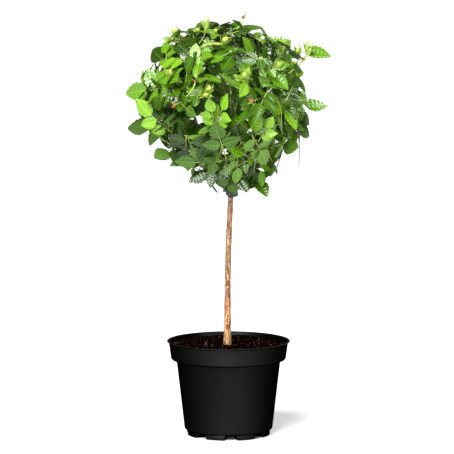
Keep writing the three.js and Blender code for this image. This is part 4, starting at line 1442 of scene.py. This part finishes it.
# %% Bend each leaflet its own way
BENDS = {"fold": (0.12, 0.42), "droop": (0.02, 0.18), "twist": (-0.25, 0.25), "curl": (0.3, 0.9)}


def shape_leaflet(leaflet, draw):
    """The points of a leaflet, with its own fold, droop, twist and curl."""
    base, axis, side, normal, (length, _, _) = leaflet
    u, v, h = leaflet_shape
    fold, droop, twist, curl = [draw.uniform(low, high) for low, high in BENDS.values()]
    rise = h + fold * np.abs(v) - curl * v**2 - droop * u**2 + twist * u * v
    return base + length * (np.outer(u, axis) + np.outer(v, side) + np.outer(rise, normal))


# %% [markdown]
# Greens, dealt out leaf by leaf
#
# The greens grade with depth in the head, partly as painted shade: leaves deep inside are dark, as old
# leaves in shade, those further out a fresh mid green, and some of the outermost an almost yellow young
# green. Each leaf takes one green whole, by its place and by chance. Its gloss comes from a thin waxy
# coat, which fades edge-on, over a rougher blade. The underside has none.

# %% Finishes of the leaves
# Greens from dark to light. The darker ones go to leaves deeper in the head, partly as painted shade.
LEAF_TONES = {
    "deep": ((0.0086, 0.026, 0.00072), (0.019, 0.05, 0.0014)),
    "dark": ((0.023, 0.063, 0.0014), (0.042, 0.11, 0.0036)),
    "mid": ((0.052, 0.13, 0.0029), (0.085, 0.2, 0.0065)),
    "fresh": ((0.086, 0.21, 0.0058), (0.14, 0.28, 0.012)),
    "young": ((0.15, 0.29, 0.0086), (0.24, 0.39, 0.025)),
}
TONE_STEPS = [0.46, 0.8, 1.08, 1.42]
TONE_RISE = 0.02
TONE_WANDER = 0.95


def lighter(color, factor, lift=0):
    return tuple(factor * c + lift for c in color)


def finishes_of(name, low, high):
    """The three finishes of one green: the blade, its midrib and its underside."""
    blade = mottled(f"leaf_{name}", 140, 3, low, high, 0.4, 0.16, Specular_IOR_Level=0.0, Coat_Roughness=0.24)
    blade.coat(0.95)
    blade.bump(blade.noise(900, 2), 0.25 * MM, 0.5)
    pale = lighter(high, 1.5, 0.022)
    dull = lighter(high, 1.15, 0.012)
    vein = mottled(f"vein_{name}", 300, 2, pale, lighter(pale, 1.25), 0.5)
    under = mottled(f"underside_{name}", 200, 3, dull, lighter(dull, 1.3), 0.68, Specular_IOR_Level=0.3)
    return [blade, vein, under]


leaf_finishes = []
for name, (low, high) in LEAF_TONES.items():
    leaf_finishes += finishes_of(name, low, high)
print("leaf finishes:", len(leaf_finishes))


def tone_of(leaf):
    """Which green a leaf takes: darker further inside the head, partly as painted shade, a little lighter
    higher up, and partly by chance.
    """
    end = leaf["end"]
    share = np.hypot(end[0] - AXIS_X, end[1]) / max(crown_radius(end[2]), 20 * MM)
    upper = (end[2] - HEART[2]) / (190 * MM)
    # Depth in the head sets the green, which paints shade on the inner leaves.
    light = share + TONE_RISE * upper + TONE_WANDER * (leaf["tone_draw"] - 0.5)
    tone = int(np.searchsorted(TONE_STEPS, light))
    return min(tone, 2) if leaf["reaching"] else tone


# %% Join the leaves of each mass
for k, mass in enumerate(masses):
    sprays = Gathering()
    for i, leaf in enumerate(mass["leaves"]):
        draw = random.Random(7000 * k + i)
        tone = tone_of(leaf)
        tones = [3 * tone + kind for kind in leaflet_kinds]
        for leaflet in leaf["leaflets"]:
            sprays.add(shape_leaflet(leaflet, draw), leaflet_faces, tones)
    nodes = [f"leaves_{mass['name']}"]
    sprays.finish(f"leaf_sprays_{mass['name']}", "foliage", leaf_finishes, nodes, lambda tone: tone % 3 == 0)


# %% [markdown]
# Boughs, twigs and leaf stalks
#
# All limbs are tapering tubes along their paths, with closed ends. The boughs are older and browner,
# the twigs green, and the stalks of leaves and flowers a pale yellow-green. One dry brown twig with a
# scrap of dead leaf hangs at the right. A curve with a bevel would give the same tubes, one object
# each. Worked out as arrays they join at once.


# %% Tubes from arrays
def frames_along(path):
    """Unit vectors square to a path at each of its points, without twist."""
    tangents = np.gradient(path, axis=0)
    side = np.array([1.0, 0, 0]) if abs(unit(tangents[0])[2]) > 0.9 else UP
    for tangent in tangents:
        tangent = unit(tangent)
        side = unit(side - tangent * side.dot(tangent))
        yield side, np.cross(tangent, side)


def add_tube(gathering, path, radii, sides, tone):
    turns = np.arange(sides) * 2 * math.pi / sides
    points = []
    for point, radius, (side, across) in zip(path, radii, frames_along(path)):
        points.append(point + radius * (np.outer(np.cos(turns), side) + np.outer(np.sin(turns), across)))
    faces = []
    for row in range(len(path) - 1):
        for i in range(sides):
            a, b = row * sides + i, row * sides + (i + 1) % sides
            faces.append((a, b, b + sides, a + sides))
    faces.append(tuple(range(sides))[::-1])
    faces.append(tuple(range((len(path) - 1) * sides, len(path) * sides)))
    gathering.add(np.concatenate(points), faces, [tone] * len(faces))


def taper(path, root, tip):
    return np.linspace(root, tip, len(path))


# %% Finishes of the limbs
old_cane = Finish("bough_bark", Specular_IOR_Level=0.4)
cane_streaks = old_cane.noise(260, 4)
cane_colour = old_cane.ramp(
    cane_streaks, (0.35, (0.065, 0.05, 0.018)), (0.5, (0.12, 0.12, 0.032)), (0.68, (0.19, 0.22, 0.058)),
)
old_cane.paint(cane_colour, 0.5 + cane_streaks * 0.2)
old_cane.bump(cane_streaks, 0.5 * MM, 0.6)
GREENS = {
    "twig_green": (220, (0.086, 0.14, 0.022), (0.17, 0.24, 0.043), 0.42, 0.15),
    "stalk_green": (260, (0.19, 0.27, 0.05), (0.33, 0.4, 0.11), 0.42, 0.12),
    "flower_stalk_green": (240, (0.22, 0.31, 0.043), (0.37, 0.45, 0.1), 0.45, 0),
}
twig_green, stalk_green, flower_green = [
    mottled(name, scale, 3, low, high, roughness, drift, Specular_IOR_Level=0.45)
    for name, (scale, low, high, roughness, drift) in GREENS.items()
]
dry_brown = mottled("dry_twig", 300, 3, (0.025, 0.017, 0.01), (0.086, 0.061, 0.032), 0.7)

# %% Join the limbs
boughs = Gathering()
for mass in masses:
    add_tube(boughs, mass["bough"], taper(mass["bough"], 3.2 * MM, 2.6 * MM), 12, 0)
boughs.finish("boughs", "green_cane", [old_cane], [f"bough_{mass['name']}" for mass in masses])

twigs = Gathering()
for mass in masses:
    for i, limb in enumerate(mass["limbs"]):
        path = limb["path"]
        add_tube(twigs, path, taper(path, limb["root"], limb["tip"]), 8 if i == 0 else 6, 0)
twigs.finish("twigs", "green_cane", [twig_green])

stalks = Gathering()
DRY_TWIG = np.array([[120, -16, 588], [136, -20, 600], [131, -16, 509]]) * MM
spots = np.concatenate([limb["path"] for limb in masses[mass_at(DRY_TWIG[0])]["limbs"]])
joint = spots[np.linalg.norm(spots - DRY_TWIG[0], axis=1).argmin()]
dry_path = bend(joint, DRY_TWIG[1], DRY_TWIG[2], 16)
add_tube(stalks, dry_path, taper(dry_path, 1.3 * MM, 0.75 * MM), 5, 1)
scrap = bend(at_share(dry_path, 0.5), at_share(dry_path, 0.6) + [2 * MM, 0, 0], at_share(dry_path, 0.74), 5)
add_tube(stalks, scrap, np.array([0.8, 2.2, 2.6, 2.2, 1.4, 0.5]) * MM, 5, 1)
for mass in masses:
    for leaf in mass["leaves"]:
        base, end = leaf["base"], leaf["end"]
        arch = (base + end) / 2 - leaf["leaflets"][0][3] * 0.6 * MM
        path = bend(base, arch, end, 3)
        add_tube(stalks, path, taper(path, 0.85 * MM, 0.5 * MM), 5, 0)
for shoot in shoots:
    path = shoot["path"]
    add_tube(stalks, path, taper(path, 1.5 * MM, 1.2 * MM) * max(0.75, shoot["scale"]), 7, 2)
stalks.finish("leaf_and_flower_stalks", "green_cane", [stalk_green, dry_brown, flower_green])

# %% [markdown]
# The flower buds
#
# Each bud is an egg of tightly wrapped petals on a swollen green hip, held in five sepals. The sepals
# are narrow and toothless here, and their thin tips stand past the bud like a crown. The egg and the
# hip start as spheres, and a sepal as a narrow grid laid over the egg. A shoot that has no bud yet ends
# in a tuft of four small young leaves, three of them red.

# %% Model one bud
deselect_all()
bpy.ops.mesh.primitive_uv_sphere_add(segments=10, ring_count=8, radius=1)
egg_points, egg_faces = template(bpy.context.object)
swell = np.array([0.33, 0.33, 0.5]) * egg_points
narrow = 1 - 0.45 * np.clip(egg_points[:, 2], 0, 1) ** 2
swell[:, 0] *= narrow
swell[:, 1] *= narrow
egg = swell + [0, 0, 0.52]
bpy.ops.mesh.primitive_uv_sphere_add(segments=8, ring_count=6, radius=1)
hip_points, hip_faces = template(bpy.context.object)
hip = hip_points * [0.17, 0.17, 0.2] + [0, 0, 0.02]
sepal_along, sepal_across, sepal_faces = grid(7, 2)


def sepal(turn, flare):
    """One sepal: it hugs the egg and then draws out into a thin tip."""
    t = sepal_along
    across = sepal_across * 2
    width = 0.24 * np.sin(math.pi * np.clip(t * 1.2, 0, 1)) ** 0.8 + 0.04 * (1 - t) + 0.018
    hug = 0.1 + 0.28 * np.sin(math.pi * np.clip(t * 1.1, 0, 1)) + flare * np.clip(t - 0.3, 0, 1) ** 1.3
    radius = hug - 0.035 * across**2
    angle = turn + across * width / np.maximum(radius, 0.15)
    return np.column_stack([radius * np.cos(angle), radius * np.sin(angle), 0.03 + (1.5 - 0.42 * flare) * t])


bud_parts = [(egg, egg_faces, 0), (hip, hip_faces, 1)]
for i, flare in enumerate([0.9, 0.2, 1.5, 0.5, 1.2]):
    bud_parts.append((sepal(i * 2 * math.pi / 5, flare), sepal_faces, 2))
tip_parts = []
for i, flare in enumerate([0.3, 1.8, 0.9, 2.4]):
    young = sepal(i * GOLDEN_ANGLE, flare)
    tip_parts.append((young * [0.5, 0.5, 0.5 - 0.07 * i], sepal_faces, 3 if i < 3 else 2))
print("faces in a bud:", sum(len(faces) for _, faces, _ in bud_parts))

# %% Finishes of the buds
bud_finishes = [
    mottled("wrapped_petals", 200, 2, (0.21, 0.3, 0.029), (0.32, 0.4, 0.072), 0.5),
    mottled("hip_green", 200, 2, (0.14, 0.24, 0.029), (0.24, 0.33, 0.065), 0.4),
    mottled("sepal_green", 160, 2, (0.086, 0.18, 0.011), (0.26, 0.36, 0.043), 0.48),
    mottled("young_red", 240, 2, (0.17, 0.045, 0.014), (0.23, 0.15, 0.03), 0.45),
]

# %% Join the buds
buds = Gathering()
for i, shoot in enumerate(shoots):
    path = shoot["path"]
    up = unit(unit(path[-1] - path[-2]) + 0.6 * UP)
    side = unit(np.cross(up, [0.2, 1, 0.1]))
    turn = i * GOLDEN_ANGLE
    first = side * math.cos(turn) + np.cross(up, side) * math.sin(turn)
    axes = np.array([first, np.cross(up, first), up])
    size = BUD_HEIGHT * shoot["scale"]
    for points, faces, tone in bud_parts if shoot["kind"] == "bud" else tip_parts:
        buds.add(path[-1] + size * points @ axes, faces, [tone] * len(faces))
buds.finish("flower_buds", "foliage", bud_finishes)

# %% [markdown]
# Floor, light and camera
#
# The plant stands on a plain pale floor in soft studio light, so that its own colours show. A wide sun
# from the upper left gives the leaves their highlights and lights the floor evenly. A lamp on the right
# opens the shadows, one in front lifts the pot and the low leaves, one behind thins the shadow on the
# floor, and the pale surroundings do the rest. The camera stands 6 m off, a little above the head, with
# a long lens, as the narrow oval of the rim and the straight wall show.

# %% Floor
deselect_all()
bpy.ops.mesh.primitive_plane_add(size=14)
floor = bpy.context.object
floor.name = "floor"
pale_floor = Finish("pale_floor", Roughness=0.9, Base_Color=(0.7, 0.7, 0.7))
floor.data.materials.append(pale_floor.material)


# %% Lights
def aim_at(place, target):
    return (Vector(target) - Vector(place)).to_track_quat("-Z", "Y").to_euler()


def add_light(kind, name, place, target, energy, **settings):
    bpy.ops.object.light_add(type=kind, location=place, rotation=aim_at(place, target))
    light = bpy.context.object
    light.name = name
    light.data.energy = energy
    for key, value in settings.items():
        setattr(light.data, key, value)


add_light("SUN", "key_light", (-1.5, -3.0, 3.0), (0, 0, 0.5), 8.7, angle=math.radians(38))
add_light("AREA", "fill_light", (2.4, -2.6, 1.2), (0, 0, 0.5), 36, shape="DISK", size=1.0)
add_light("AREA", "front_light", (-0.7, -3.3, 0.75), (0, 0, 0.56), 46, shape="DISK", size=1.5)
add_light("AREA", "back_light", (1.5, 1.7, 2.4), (0.1, 0.05, 0.4), 100, shape="DISK", size=1.5)

# %% Pale surroundings, brighter towards the horizon
world = bpy.data.worlds.new("studio")
world.use_nodes = True
tree = world.node_tree
spot = tree.nodes.new("ShaderNodeTexCoord")
split = tree.nodes.new("ShaderNodeSeparateXYZ")
fade = tree.nodes.new("ShaderNodeValToRGB")
stretch_ramp(fade.color_ramp, [(0.03, grey(1)), (0.1, grey(0.14))])
tree.links.new(spot.outputs["Generated"], split.inputs[0])
tree.links.new(split.outputs["Z"], fade.inputs["Fac"])
tree.links.new(fade.outputs["Color"], tree.nodes["Background"].inputs["Color"])
tree.nodes["Background"].inputs["Strength"].default_value = 1.02
bpy.context.scene.world = world
bpy.context.scene.view_settings.view_transform = "Standard"

# %% Camera
CAMERA_DISTANCE = 6.0
CAMERA_HEIGHT = 1.1
LENS = 255.9
AIM = Vector((-2.8 * MM, 0, 392.1 * MM))
place = Vector((AIM.x, -CAMERA_DISTANCE, CAMERA_HEIGHT))
bpy.ops.object.camera_add(location=place, rotation=aim_at(place, AIM))
camera = bpy.context.object
camera.data.lens = LENS
camera.data.sensor_width = 36
camera.data.clip_end = 50
bpy.context.scene.camera = camera
print("camera", round((AIM - place).length, 2), "m away")
